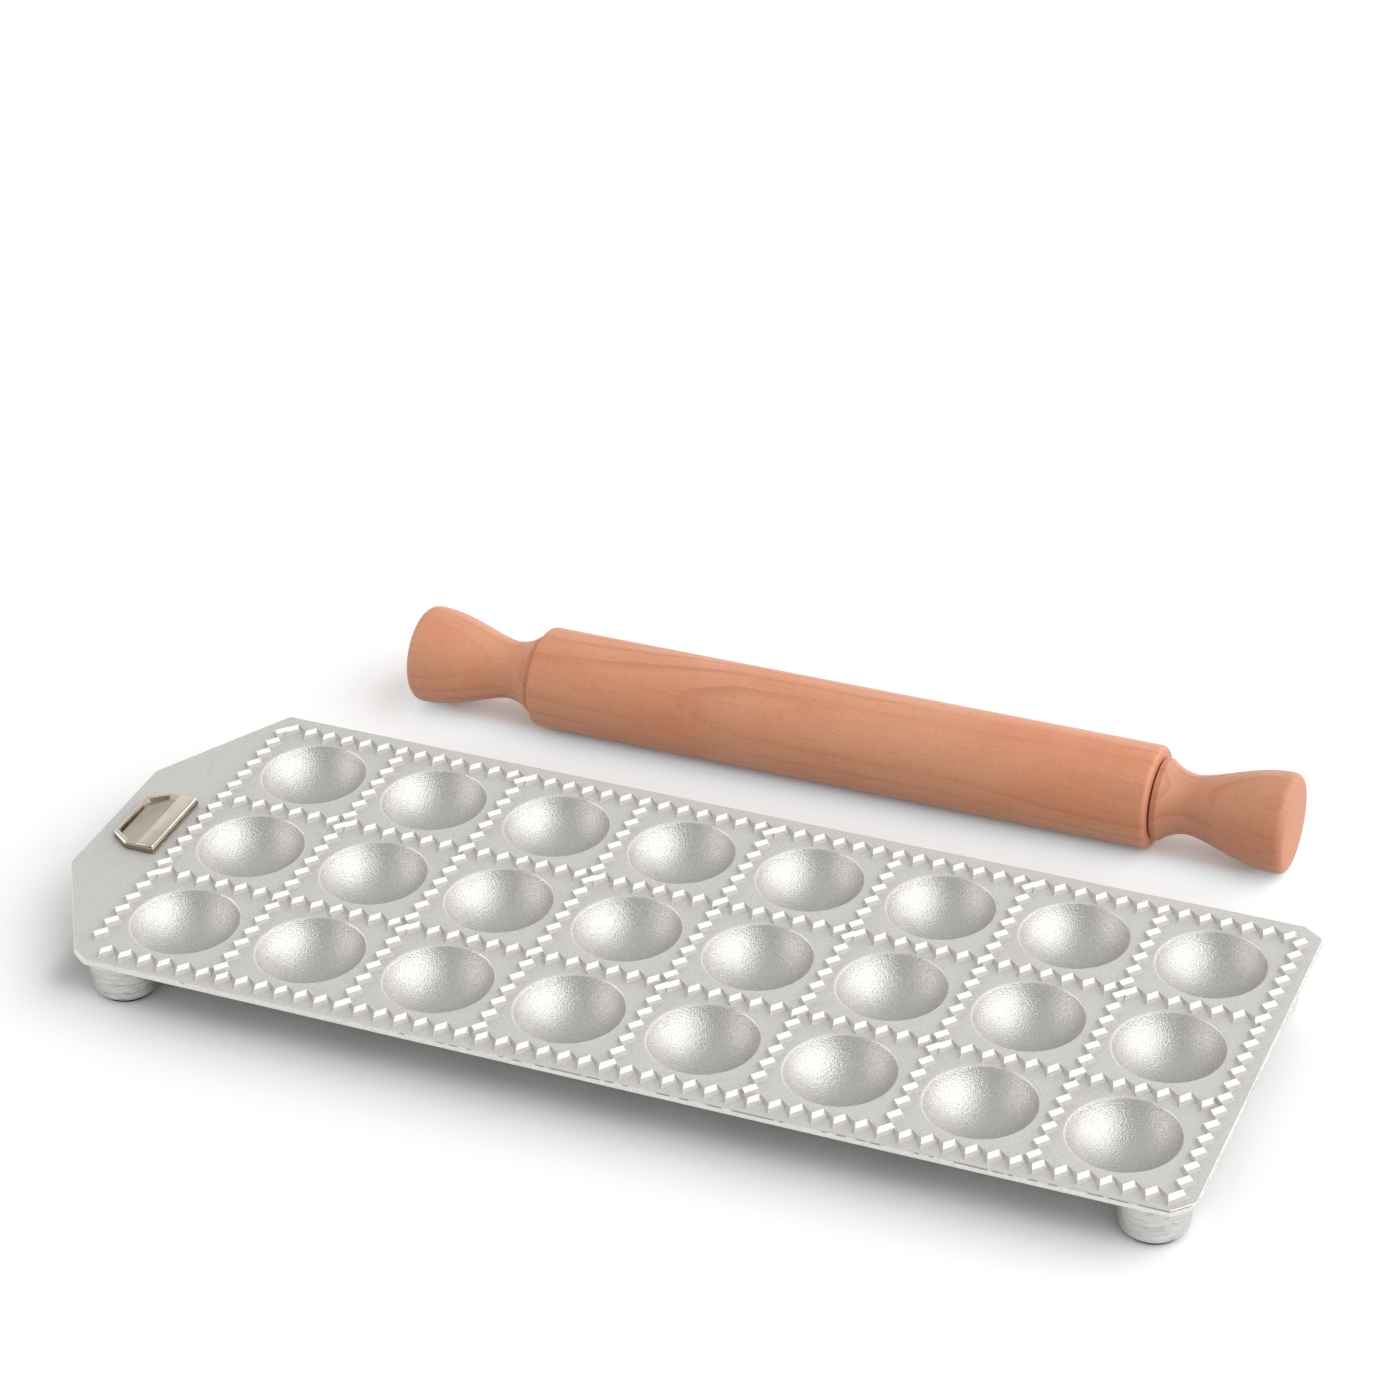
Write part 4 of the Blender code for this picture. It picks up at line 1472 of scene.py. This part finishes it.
@dataclass
class Ridges:
    """The zigzag ridges: rows and columns of milled teeth joined by sharp crests.

    Attributes:
        tray: The tray that they stand on.
        per_cell: How many teeth there are along one cell.
        spread: How far the flanks lean out at the plate.
        shift: How far the ridges lie from the lines between the cells.
        thickness: The thickness of a tooth's top.
        row_length: The length of a tooth's long side in the rows.
        row_lean: The angle of that side from the row, in degrees.
        row_cut: The angle of the tooth's ends from the row, in degrees.
        row_phase: Where the first tooth of a row stands, in teeth.
        column_length: The length of a tooth's long side in the columns.
        column_lean: The angle of that side from the column, in degrees.
        column_cut: The angle of the tooth's ends from the column, in degrees.
        column_phase: Where the first tooth of a column stands, in teeth.
        jitter: How far a tooth's corner may lie from its exact place.
        draw_seed: The seed of these small offsets. Without one the noise starts from the clock.
        root: How far a ridge reaches down into the plate.
    """

    tray: Tray
    per_cell: float = 6.5
    spread: float = 0.48 * MM
    shift: Point2 = (0.7 * MM, -1.1 * MM)
    thickness: float = 2.25 * MM
    row_length: float = 3.35 * MM
    row_lean: float = 48.0
    row_cut: float = 71.5
    row_phase: float = -0.10
    column_length: float = 3.9 * MM
    column_lean: float = 48.7
    column_cut: float = 49.6
    column_phase: float = 0.15
    jitter: float = 0.05 * MM
    draw_seed: int = 7
    root: float = 0.7 * MM

    @property
    def pitch(self) -> float:
        """The distance from tooth to tooth."""
        return self.tray.cell / self.per_cell

    def corners(self, length: float, lean: float, cut: float) -> tuple[Vector, Vector, Vector, Vector]:
        """The corners of a tooth's top.

        Args:
            length: The length of its long side.
            lean: The long side's angle from the ridge, in degrees.
            cut: The end's angle from the ridge, in degrees.

        Returns:
            Back left, back right, front right and front left.
        """
        lean, cut = math.radians(lean), math.radians(cut)
        along = Vector((math.cos(lean), math.sin(lean))) * length / 2
        across = Vector((math.cos(cut), -math.sin(cut))) * self.thickness / math.sin(lean + cut) / 2
        return -along - across, along - across, along + across, -along + across

    def foot_points(self, corners: Sequence[Vector], crest: Crest) -> dict[str, dict[str, Vector]]:
        """Where the flanks of a tooth meet the plate.

        Args:
            corners: The corners of its top.
            crest: The corner that the crest leaves from.

        Returns:
            The points of a tooth inside the ridge, of the first tooth and of the last one.
        """
        a, b, c, d = corners
        step = Vector((self.pitch, 0.0))
        start = b if crest is Crest.BACK else c
        back, front = self.offset(b, a), self.offset(d, c)
        left, right = self.offset(a, d), self.offset(c, b)
        crest_back, crest_front = self.offset(a + step, b), self.offset(start, a + step)
        inside = {
            "a": self.crossing((crest_back[0] - step, crest_back[1]), back),
            "b": self.crossing(crest_back, back),
            "c": self.crossing(front, crest_front),
            "d": self.crossing((d, Vector((0.0, 1.0))), front),
        }
        first = {"a": self.crossing(left, back), "d": self.crossing(left, front)}
        last = {"b": self.crossing(right, back), "c": self.crossing(right, front)}
        return {"inside": inside, "first": inside | first, "last": inside | last}

    def offset(self, start: Vector, end: Vector) -> tuple[Vector, Vector]:
        """The line through two points, moved to its right by the flank's spread.

        Args:
            start: The first point.
            end: The second point.

        Returns:
            A point of the line and its direction.
        """
        along = (end - start).normalized()
        return start + self.spread * Vector((along.y, -along.x)), along

    @staticmethod
    def crossing(first: tuple[Vector, Vector], second: tuple[Vector, Vector]) -> Vector:
        """Where two lines cross.

        Args:
            first: A point and a direction.
            second: Another point and direction.

        Returns:
            The crossing.
        """
        (point, along), (other, across) = first, second
        gap = other - point
        turned = along.x * across.y - along.y * across.x
        return point + along * ((gap.x * across.y - gap.y * across.x) / turned)

    def ridge(self, name: str, first: float, count: int, corners: Sequence[Vector], crest: Crest) -> bpy.types.Mesh:
        """One ridge along X with a root inside the plate.

        Args:
            name: The mesh's name.
            first: The place of the first tooth, in teeth.
            count: How many teeth there are.
            corners: The corners of a tooth's top.
            crest: The corner that the crest leaves from.

        Returns:
            The closed mesh.
        """
        top, plate = self.tray.top + self.tray.tooth_rise, self.tray.top
        feet = self.foot_points(corners, crest)
        form = bmesh.new()
        teeth = []
        noise.seed_set(self.draw_seed)
        for i in range(count):
            which = "first" if i == 0 else "last" if i == count - 1 else "inside"
            origin = Vector(((first + i) * self.pitch, 0.0))
            tooth = {}
            for key, point in zip("ABCD", corners):
                seed = Vector((i * 3.7 + first, ord(key) * 1.3, len(name) + ord(name[-1])))
                wobble = noise.noise_vector(seed).to_2d() * self.jitter
                tooth[key] = form.verts.new((*(origin + point + wobble), top))
            for key, point in feet[which].items():
                tooth[key] = form.verts.new((*(origin + point), plate))
            teeth.append(tooth)
        self.cover(form, teeth, crest)
        rim = [edge for edge in form.edges if edge.is_boundary]
        root = bmesh.ops.extrude_edge_only(form, edges=rim)["geom"]
        sunk = [item for item in root if isinstance(item, bmesh.types.BMVert)]
        bmesh.ops.translate(form, vec=(0, 0, -self.root), verts=sunk)
        bmesh.ops.contextual_create(form, geom=[item for item in root if isinstance(item, bmesh.types.BMEdge)])
        return close_form(name, form)

    @staticmethod
    def cover(form: bmesh.types.BMesh, teeth: list[dict[str, bmesh.types.BMVert]], crest: Crest) -> None:
        """Lay the tops, the flanks and the crests between the teeth.

        Args:
            form: The mesh to add the faces to.
            teeth: The points of each tooth by letter.
            crest: The corner that the crest leaves from.
        """
        for t in teeth:
            form.faces.new((t["A"], t["B"], t["C"], t["D"]))
            form.faces.new((t["B"], t["A"], t["a"], t["b"]))
            form.faces.new((t["D"], t["C"], t["c"], t["d"]))
        form.faces.new((teeth[0]["A"], teeth[0]["D"], teeth[0]["d"], teeth[0]["a"]))
        form.faces.new((teeth[-1]["C"], teeth[-1]["B"], teeth[-1]["b"], teeth[-1]["c"]))
        for t, n in zip(teeth, teeth[1:]):
            start = t[crest.value]
            form.faces.new((t["B"], t["C"], t["c" if crest is Crest.BACK else "b"]))
            form.faces.new((start, n["A"], n["a"]))
            form.faces.new((start, n["a"], t["b"]))
            form.faces.new((start, t["c"], n["A"]))
            form.faces.new((n["A"], t["c"], n["d"]))
            form.faces.new((n["A"], n["d"], n["D"]))

    @staticmethod
    def swap(mesh: bpy.types.Mesh) -> bpy.types.Mesh:
        """Mirror a ridge along X in the diagonal, so that it runs along Y.

        Args:
            mesh: The ridge's mesh.

        Returns:
            The same mesh.
        """
        form = bmesh.new()
        form.from_mesh(mesh)
        for vert in form.verts:
            vert.co.x, vert.co.y = vert.co.y, vert.co.x
        bmesh.ops.recalc_face_normals(form, faces=form.faces)
        form.to_mesh(mesh)
        form.free()
        return mesh

    def build(self) -> list[bpy.types.Object]:
        """Make a ridge for each line of the field. The teeth step by half a pitch from line to line.

        Returns:
            The closed forms that the casting takes in.
        """
        tray = self.tray
        x0, y0 = tray.field_corner[0] + self.shift[0], tray.field_corner[1] + self.shift[1]
        forms = []
        corners = self.corners(self.row_length, self.row_lean, self.row_cut)
        for line in range(tray.rows + 1):
            odd = line % 2
            first = self.row_phase + odd / 2 + 1 - odd
            mesh = self.ridge(f"row_ridge_{line}", first, int(tray.columns * self.per_cell), corners, Crest.BACK)
            forms.append(make_piece("ridge", mesh, (x0, y0 + line * tray.cell, 0)))
        a, b, c, d = self.corners(self.column_length, self.column_lean, self.column_cut)
        corners = [Vector((point.y, point.x)) for point in (d, c, b, a)]
        for line in range(tray.columns + 1):
            odd, skipped = line % 2, int(line == 0)
            first = self.column_phase + odd / 2 + skipped
            count = int(tray.rows * self.per_cell) + 1 - odd - skipped
            mesh = self.swap(self.ridge(f"column_ridge_{line}", first, count, corners, Crest.FRONT))
            forms.append(make_piece("ridge", mesh, (x0 + line * tray.cell, y0, 0)))
        return forms


@dataclass
class Badge:
    """The bare badge on the tongue: a bevelled nickel plate with a blank raised bar.

    Attributes:
        tray: The tray that it sits on.
        from_left: How far its middle lies from the tongue's end.
        width: Its size along X.
        length: Its size along Y.
        thickness: Its height above the plate.
        cut: How far the two cut corners reach along X and Y.
        field_slope: How steeply the sunk field falls away towards the tongue's end.
        bar_rise: How far the bar stands above the rim.
        bar_width: The bar's width.
        clearance: The gap under the badge.
        peg_side: How far the two pegs stand from the middle along Y.
        peg_hole: The radius of the holes that they pass into.
        corner_round: The radius of the badge's corners.
        edge_steps: The rim and the step down to the field, as distance inwards and depth below the rim, in millimetres.
        bar_inset: How far the bar stays inside the badge's edges.
        bar_round: The radius of the bar's corners.
        bar_steps: The bar's side and edge, in the same way below its top.
        piece: The finished badge.
    """

    tray: Tray
    from_left: float = 12.5 * MM
    width: float = 14.9 * MM
    length: float = 26.4 * MM
    thickness: float = 2.2 * MM
    cut: Point2 = (6.0 * MM, 4.2 * MM)
    field_slope: float = 0.06
    bar_rise: float = 0.45 * MM
    bar_width: float = 5.2 * MM
    clearance: float = 0.3 * MM
    peg_side: float = 9.0 * MM
    peg_hole: float = 1.5 * MM
    corner_round: float = 0.6 * MM
    edge_steps: tuple[Point2, ...] = (
        (0.0, 0.60),
        (0.06, 0.46),
        (0.50, 0.06),
        (0.62, 0.0),
        (1.20, 0.0),
        (1.34, 0.07),
        (1.95, 0.50),
        (2.2, 0.56),
    )
    bar_inset: float = 0.25 * MM
    bar_round: float = 0.5 * MM
    bar_steps: tuple[Point2, ...] = ((0.0, 1.5), (0.0, 0.48), (0.06, 0.36), (0.34, 0.05), (0.46, 0.0))
    piece: bpy.types.Object | None = field(default=None, repr=False)

    def build(self) -> bpy.types.Object:
        """Make the badge with its pegs.

        Returns:
            The badge.
        """
        half_x, half_y = self.width / 2, self.length / 2
        outline = [
            (-half_x, -half_y + self.cut[1]),
            (-half_x + self.cut[0], -half_y),
            (half_x, -half_y),
            (half_x, half_y),
            (-half_x + self.cut[0], half_y),
            (-half_x, half_y - self.cut[1]),
        ]
        low = self.tray.top + self.clearance
        high = low + self.thickness
        rim = high - self.bar_rise
        steps = [(0.10, low), (0.0, low + 0.10 * MM)]
        steps += [(depth, rim - drop * MM) for depth, drop in self.edge_steps]
        rings = [soft_ring(outline, depth * MM, self.corner_round, height) for depth, height in steps]
        rings[-2:] = [[(x, y, z + self.field_slope * (x - half_x)) for x, y, z in ring] for ring in rings[-2:]]
        middle_x = self.tray.left + self.from_left
        badge = make_piece("badge_fine", loft("badge_fine", rings), (middle_x, self.tray.middle, 0))
        combine(badge, self.pegs(low) + [self.bar(high)], Join.UNION)
        badge.data.name = "badge_fine"
        shade(badge.data, 24.0)
        self.piece = badge
        return badge

    def pegs(self, low: float) -> list[bpy.types.Object]:
        """The two pegs under the badge.

        Args:
            low: The height of the badge's underside.

        Returns:
            The pegs.
        """
        profile = [(0.0, -1.8), (1.0, -1.8), (1.2, -1.6), (1.2, 0.6), (0.0, 0.6)]
        peg = turn("badge_peg", [(radius * MM, height * MM) for radius, height in profile], 32)
        x = self.tray.left + self.from_left
        return [make_piece("peg", peg, (x, self.tray.middle + side * self.peg_side, low)) for side in (-1, 1)]

    def bar(self, high: float) -> bpy.types.Object:
        """The blank raised bar along the badge's straight side.

        Args:
            high: The height of the badge's top.

        Returns:
            The bar.
        """
        half_y = self.length / 2 - self.bar_inset
        right = self.width / 2 - self.bar_inset
        left = right - self.bar_width
        outline = [(left, -half_y), (right, -half_y), (right, half_y), (left, half_y)]
        rings = [soft_ring(outline, depth * MM, self.bar_round, high - drop * MM) for depth, drop in self.bar_steps]
        return make_piece("bar", loft("bar", rings), (self.tray.left + self.from_left, self.tray.middle, 0))

    def sort_faces(self) -> None:
        """Tell the flat bright faces, the sunk field and the bevels apart."""
        sunk = self.tray.top + self.clearance + self.thickness - self.bar_rise - 0.3 * MM
        for face in self.piece.data.polygons:
            # painted reflection: the bevels take a dark finish
            if face.normal.z < 0.55:
                face.material_index = BadgeFace.BEVEL.value
            elif face.center.z < sunk:
                face.material_index = BadgeFace.SUNK.value

    def dress(self) -> None:
        """Give the badge its nickel and let it stand for the CAD badge."""
        finishes = {
            BadgeFace.BRIGHT: BadgeNickel("badge_nickel"),
            BadgeFace.SUNK: BadgeNickel(
                "badge_sunk_nickel", colour=(0.60, 0.53, 0.45), shade=(0.50, 0.435, 0.36), roughness=0.26
            ),
            # painted reflection: a dark copy of the nickel for the bevels
            BadgeFace.BEVEL: BadgeNickel(
                "badge_bevel_painted_dark_nickel", colour=(0.30, 0.25, 0.195), shade=(0.20, 0.165, 0.125), roughness=0.12
            ),
        }
        dress(self.piece, [finishes[face].make() for face in BadgeFace])
        self.sort_faces()
        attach(self.piece, Body.MOULD.value)
        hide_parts("badge")


@dataclass
class FootPads:
    """The rubber pads under the feet, with a ring groove and a hollow in the middle.

    Attributes:
        tray: The tray that they carry.
        radius: The radius of a pad.
        thickness: Its height.
        edge_round: The radius of its lower edge.
        groove_share: Where the ring groove runs, as a share of the radius.
        groove_depth: The groove's depth.
        hollow: The radius and depth of the hollow in the middle.
        pieces: The finished pads by foot.
    """

    tray: Tray
    radius: float = 7.7 * MM
    thickness: float = 1.6 * MM
    edge_round: float = 0.35 * MM
    groove_share: float = 0.62
    groove_depth: float = 0.35 * MM
    hollow: Point2 = (1.6 * MM, 0.5 * MM)
    pieces: dict[Foot, bpy.types.Object] = field(default_factory=dict, repr=False)

    def build(self) -> dict[Foot, bpy.types.Object]:
        """Make the four pads.

        Returns:
            The pads by foot.
        """
        r, t, e = self.radius, self.thickness, self.edge_round
        groove, deep = r * self.groove_share, self.groove_depth
        hollow, high = self.hollow
        profile = [(0.0, t), (r - 0.1 * MM, t), (r, t - 0.1 * MM)]
        profile += arc((r - e, e), e, 0, -90, 5)
        profile += [(groove + 0.5 * MM, 0.0), (groove + 0.3 * MM, deep), (groove - 0.3 * MM, deep)]
        profile += [(groove - 0.5 * MM, 0.0), (hollow, 0.0), (hollow - 0.4 * MM, high), (0.0, high)]
        mesh = turn("foot_pad_fine", profile, 64)
        shade(mesh)
        for foot in Foot:
            place = (*self.tray.foot_place(foot), 0.0)
            self.pieces[foot] = make_piece(f"foot_pad_fine_{foot.label}", mesh.copy(), place)
        return self.pieces

    def dress(self) -> None:
        """Give the pads their rubber and let them stand for the CAD pads."""
        rubber = PadRubber("pad_rubber").make()
        for foot, pad in self.pieces.items():
            dress(pad, [rubber])
            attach(pad, Body.MOULD.value)
            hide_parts(f"foot_pad_{foot.label}")


# ---------------------------------------------------------------- the rolling pin


@dataclass
class RollingPin:
    """The rolling pin: a barrel that turns on a rod in two bushes, with a turned handle on each end.

    Attributes:
        centre: The middle of the pin.
        radius: The barrel's radius.
        length: The barrel's length.
        end_round: The radius of the barrel's edges.
        seam: The gap between the barrel and a handle.
        bush_seat: The radius and depth of the seat that a bush sits in.
        bore: The radius of the bore between the bushes.
        rod_hole: The radius and depth of the blind bore in a handle.
        handle_length: The length of a handle.
        collar: The radius of a handle where it meets the barrel.
        collar_length: How far the flat collar reaches.
        collar_step: How far the neck's flare stays inside the collar.
        neck: The radius and place of the thinnest part.
        bulb: The radius and place of the thickest part.
        handle_round: The radius at the handle's end.
        swell: How late the neck swells into the bulb.
        flare: How late the neck flares into the collar.
        barrel: The finished barrel.
        handles: The finished handles by end.
    """

    centre: Point3 = (10.1 * MM, 79.8 * MM, 14.87 * MM)
    radius: float = 14.87 * MM
    length: float = 189.8 * MM
    end_round: float = 1.6 * MM
    seam: float = 0.5 * MM
    bush_seat: Point2 = (5.7 * MM, 14.2 * MM)
    bore: float = 4.0 * MM
    rod_hole: Point2 = (3.3 * MM, 25.3 * MM)
    handle_length: float = 39.5 * MM
    collar: float = 11.7 * MM
    collar_length: float = 2.3 * MM
    collar_step: float = 0.10 * MM
    neck: Point2 = (8.65 * MM, 10.5 * MM)
    bulb: Point2 = (14.45 * MM, 36.8 * MM)
    handle_round: float = 2.4 * MM
    swell: float = 1.4
    flare: float = 2.2
    barrel: bpy.types.Object | None = field(default=None, repr=False)
    handles: dict[PinEnd, bpy.types.Object] = field(default_factory=dict, repr=False)

    def barrel_profile(self) -> Profile:
        """The barrel about its own axis, with a soft edge and the bore that the bushes sit in.

        Returns:
            The points of the closed profile.
        """
        half, r, e = self.length / 2, self.radius, self.end_round
        seat, bore, floor = self.bush_seat[0], self.bore, half - self.bush_seat[1]
        outer = arc((r - e, half - e), e, 90, 0, 8)
        stations = [(r, half - e - (2 * half - 2 * e) * i / 24) for i in range(1, 24)]
        inner = arc((r - e, -half + e), e, 0, -90, 8)
        hole = [(seat, -half), (seat, -floor), (bore, -floor), (bore, floor), (seat, floor), (seat, half)]
        return outer + stations + inner + hole

    def handle_profile(self) -> Profile:
        """A handle standing on its collar at height 0, with the blind bore for the rod.

        Returns:
            The points from the top down and back up the bore.
        """
        top, r = self.handle_length, self.bulb[0]
        soft = self.handle_round
        rise = top - self.bulb[1]
        points: Profile = [(0.0, top)]
        for i in range(11):
            angle = math.pi / 2 * i / 10
            points.append((r - soft * (1 - math.sin(angle)), top - rise * (1 - math.cos(angle))))
        for i in range(1, 37):
            share = 1 - i / 36
            swell = math.sin(math.pi / 2 * share) ** self.swell
            height = self.neck[1] + (self.bulb[1] - self.neck[1]) * share
            points.append((self.neck[0] + (r - self.neck[0]) * swell, height))
        flare = self.collar - self.collar_step
        for i in range(1, 21):
            share = i / 20
            radius = self.neck[0] + (flare - self.neck[0]) * share**self.flare
            points.append((radius, self.neck[1] - (self.neck[1] - self.collar_length) * share))
        points += arc((self.collar - 0.10 * MM, self.collar_length - 0.10 * MM), 0.10 * MM, 60, 0, 3)
        points += [(self.collar, self.seam + 0.15 * MM), (self.collar - 0.15 * MM, self.seam)]
        hole, deep = self.rod_hole
        return points + [(hole, self.seam), (hole, deep), (0.0, deep)]

    def lay(self, name: str, mesh: bpy.types.Mesh, end: PinEnd | None = None) -> bpy.types.Object:
        """Lay a form that stands on Z along the pin's axis. Its own origin stays on the axis.

        Args:
            name: The piece's name.
            mesh: Its mesh.
            end: The end that it points to, or None for a form in the middle.

        Returns:
            The piece.
        """
        side = end.value if end else 1
        mesh.transform(Matrix.Rotation(side * math.pi / 2, 4, "Y"))
        mesh.transform(Matrix.Translation((side * self.length / 2 if end else 0.0, 0.0, 0.0)))
        shade(mesh)
        return make_piece(name, mesh, self.centre)

    def build(self) -> list[bpy.types.Object]:
        """Make the barrel and the handles.

        Returns:
            The three pieces.
        """
        barrel = turn("pin_barrel_fine", self.barrel_profile(), 144, closed=True)
        self.barrel = self.lay("pin_barrel_fine", barrel)
        for end in PinEnd:
            name = f"pin_handle_fine_{end.label}"
            self.handles[end] = self.lay(name, turn(name, self.handle_profile(), 112), end)
        return [self.barrel, *self.handles.values()]

    def dress(self, nodes: dict[str, bpy.types.Object]) -> None:
        """Give every piece of the pin its finish.

        Args:
            nodes: The CAD nodes by name. The rod and the bushes stay and take a finish here.
        """
        dress(self.barrel, [TurnedBeech("barrel_beech", (-46 * MM, 30 * MM)).make()])
        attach(self.barrel, Body.BARREL.value)
        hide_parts("pin_barrel")
        figures = {PinEnd.LEFT: ((-30 * MM, 24 * MM), 0.31, 1.0), PinEnd.RIGHT: ((-26 * MM, 30 * MM), 0.83, 0.86)}
        for end, handle in self.handles.items():
            pith, shift, tone = figures[end]
            dress(handle, [TurnedBeech(f"handle_beech_{end.label}", pith, shift, tone=tone).make()])
            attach(handle, Body.HANDLES.value)
            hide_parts(f"pin_handle_{end.label}")
        dress(nodes["pin_axle"], [DrawnSteel("rod_steel").make()])
        nylon = BushNylon("bush_nylon").make()
        for end in PinEnd:
            dress(nodes[f"pin_bush_{end.label}"], [nylon])


# ---------------------------------------------------------------- the studio


@dataclass(frozen=True)
class SoftBox:
    """A large soft lamp.

    Attributes:
        name: The lamp's name.
        place: Where it hangs.
        aim: The point that it faces.
        size: Its width and height.
        power: Its power in watts.
        tint: Its colour.
    """

    name: str
    place: Point3
    aim: Point3
    size: Point2
    power: float
    tint: Colour = (1.0, 1.0, 1.0)

    def hang(self) -> bpy.types.Object:
        """Put the lamp into the scene.

        Returns:
            The lamp.
        """
        lamp = bpy.data.lights.new(self.name, "AREA")
        lamp.shape = "RECTANGLE"
        lamp.size, lamp.size_y = self.size
        lamp.energy = self.power
        lamp.color = self.tint
        holder = bpy.data.objects.new(self.name, lamp)
        holder.location = self.place
        facing = Vector(self.aim) - Vector(self.place)
        holder.rotation_euler = facing.to_track_quat("-Z", "Y").to_euler()
        bpy.context.scene.collection.objects.link(holder)
        return holder


@dataclass
class Studio:
    """The white table, the soft light and the camera at the photograph's angle.

    Attributes:
        room: The brightness of the room.
        shaded_side: The direction in which the room is darkest.
        shading: How much darker it is there.
        shaded_from: The closeness to that direction at which it starts to darken, where 1 is the direction itself.
        overhead: How much darker the ceiling is than the walls.
        ceiling_run: The heights of the view, from level at 0 to overhead at 1, between which it darkens.
        camera_place: Where the camera stands.
        camera_aim: The point on the table that it faces.
        camera_roll: How far it leans, in degrees.
        lens: Its focal length in millimetres.
        sensor: The width of its sensor in millimetres.
        shift: How far the picture is shifted, in picture widths.
        clip: The nearest and farthest distance that it sees.
        table_half: Half the table's side.
        boxes: The lamps.
    """

    room: float = 0.94
    shaded_side: Point3 = (0.05, -1.0, 0.2)
    shading: float = 0.50
    shaded_from: float = 0.2
    overhead: float = 0.32
    ceiling_run: Point2 = (0.1, 0.8)
    camera_place: Point3 = (0.369978, -0.837745, 0.660564)
    camera_aim: Point3 = (-0.02114, 0.112157, 0.0)
    camera_roll: float = -1.42
    lens: float = 104.756
    sensor: float = 36.0
    shift: Point2 = (-0.06143, 0.00125)
    clip: Point2 = (0.05, 30.0)
    table_half: float = 4.0
    boxes: tuple[SoftBox, ...] = (
        SoftBox("key_box", (1.96, -0.16, 1.60), (0.0, 0.0, 0.0), (4.4, 3.0), 66.0),
        SoftBox("low_box", (0.75, 1.95, 0.40), (0.0, 0.0, 0.0), (3.6, 0.9), 12.0),
        SoftBox("fill_box", (-1.75, -0.85, 0.72), (0.0, 0.0, 0.0), (2.2, 1.4), 8.0, (1.0, 0.97, 0.94)),
    )

    def build(self) -> None:
        """Set up the table, the lamps, the room and the camera."""
        self.lay_table()
        for box in self.boxes:
            box.hang()
        self.light_room()
        self.place_camera()
        bpy.context.scene.view_settings.view_transform = "Standard"

    def lay_table(self) -> None:
        """Lay the white table."""
        form = bmesh.new()
        bmesh.ops.create_grid(form, x_segments=8, y_segments=8, size=self.table_half)
        mesh = bpy.data.meshes.new("white_table")
        form.to_mesh(mesh)
        form.free()
        table = make_piece("white_table", mesh)
        dress(table, [StudioPaper("studio_paper").make()])

    def light_room(self) -> None:
        """Give the room its even soft light, darker overhead and on the shaded side."""
        world = bpy.data.worlds.new("pale_room")
        world.use_nodes = True
        graph = NodeGraph(world.node_tree)
        direction = graph.node("TexCoord").outputs["Generated"]
        towards = graph.node("VectorMath", operation="DOT_PRODUCT")
        graph.feed(towards.inputs[0], direction)
        graph.feed(towards.inputs[1], Vector(self.shaded_side).normalized())
        dimmed = self.room * (1 - self.shading)
        walls = graph.spread(towards.outputs["Value"], self.shaded_from, 1.0, self.room, dimmed)
        split = graph.node("SeparateXYZ")
        graph.feed(split.inputs[0], direction)
        ceiling = graph.spread(split.outputs["Z"], *self.ceiling_run, 1.0, 1.0 - self.overhead)
        background = graph.tree.nodes["Background"]
        graph.feed(background.inputs["Color"], (1.0, 1.0, 1.0, 1.0))
        graph.feed(background.inputs["Strength"], graph.math("MULTIPLY", walls, ceiling))
        bpy.context.scene.world = world

    def place_camera(self) -> None:
        """Stand the camera where the photograph was taken from."""
        camera = bpy.data.cameras.new("photo_camera")
        camera.lens = self.lens
        camera.sensor_width = self.sensor
        camera.shift_x, camera.shift_y = self.shift
        camera.clip_start, camera.clip_end = self.clip
        holder = bpy.data.objects.new("photo_camera", camera)
        forward = (Vector(self.camera_aim) - Vector(self.camera_place)).normalized()
        level = forward.cross(Vector((0, 0, 1))).normalized()
        lean = Matrix.Rotation(-math.radians(self.camera_roll), 3, forward)
        right = lean @ level
        up = right.cross(forward)
        turned = Matrix((right, up, -forward)).transposed()
        holder.matrix_world = Matrix.Translation(self.camera_place) @ turned.to_4x4()
        bpy.context.scene.collection.objects.link(holder)
        bpy.context.scene.camera = holder


def report(step: str, pieces: Iterable[bpy.types.Object]) -> None:
    """Log the pieces that a step has made.

    Args:
        step: What was done.
        pieces: The pieces.
    """
    for piece in pieces:
        LOG.info("%s: %s, %d faces", step, piece.name, len(piece.data.polygons))


def main() -> None:
    """Load the frame, then build and dress each part of the set."""
    logging.basicConfig(level=logging.INFO, format="%(message)s")
    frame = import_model()
    tray = Tray()
    badge = Badge(tray)
    pads = FootPads(tray)
    pin = RollingPin()
    report("tray", [tray.build()])
    tray.dress()
    report("badge", [badge.build()])
    badge.dress()
    report("feet", pads.build().values())
    pads.dress()
    report("rolling pin", pin.build())
    pin.dress(frame["nodes"])
    report("inside the pin", [frame["nodes"][name] for name in ("pin_axle", "pin_bush_left", "pin_bush_right")])
    Studio().build()


if __name__ == "__main__":
    main()
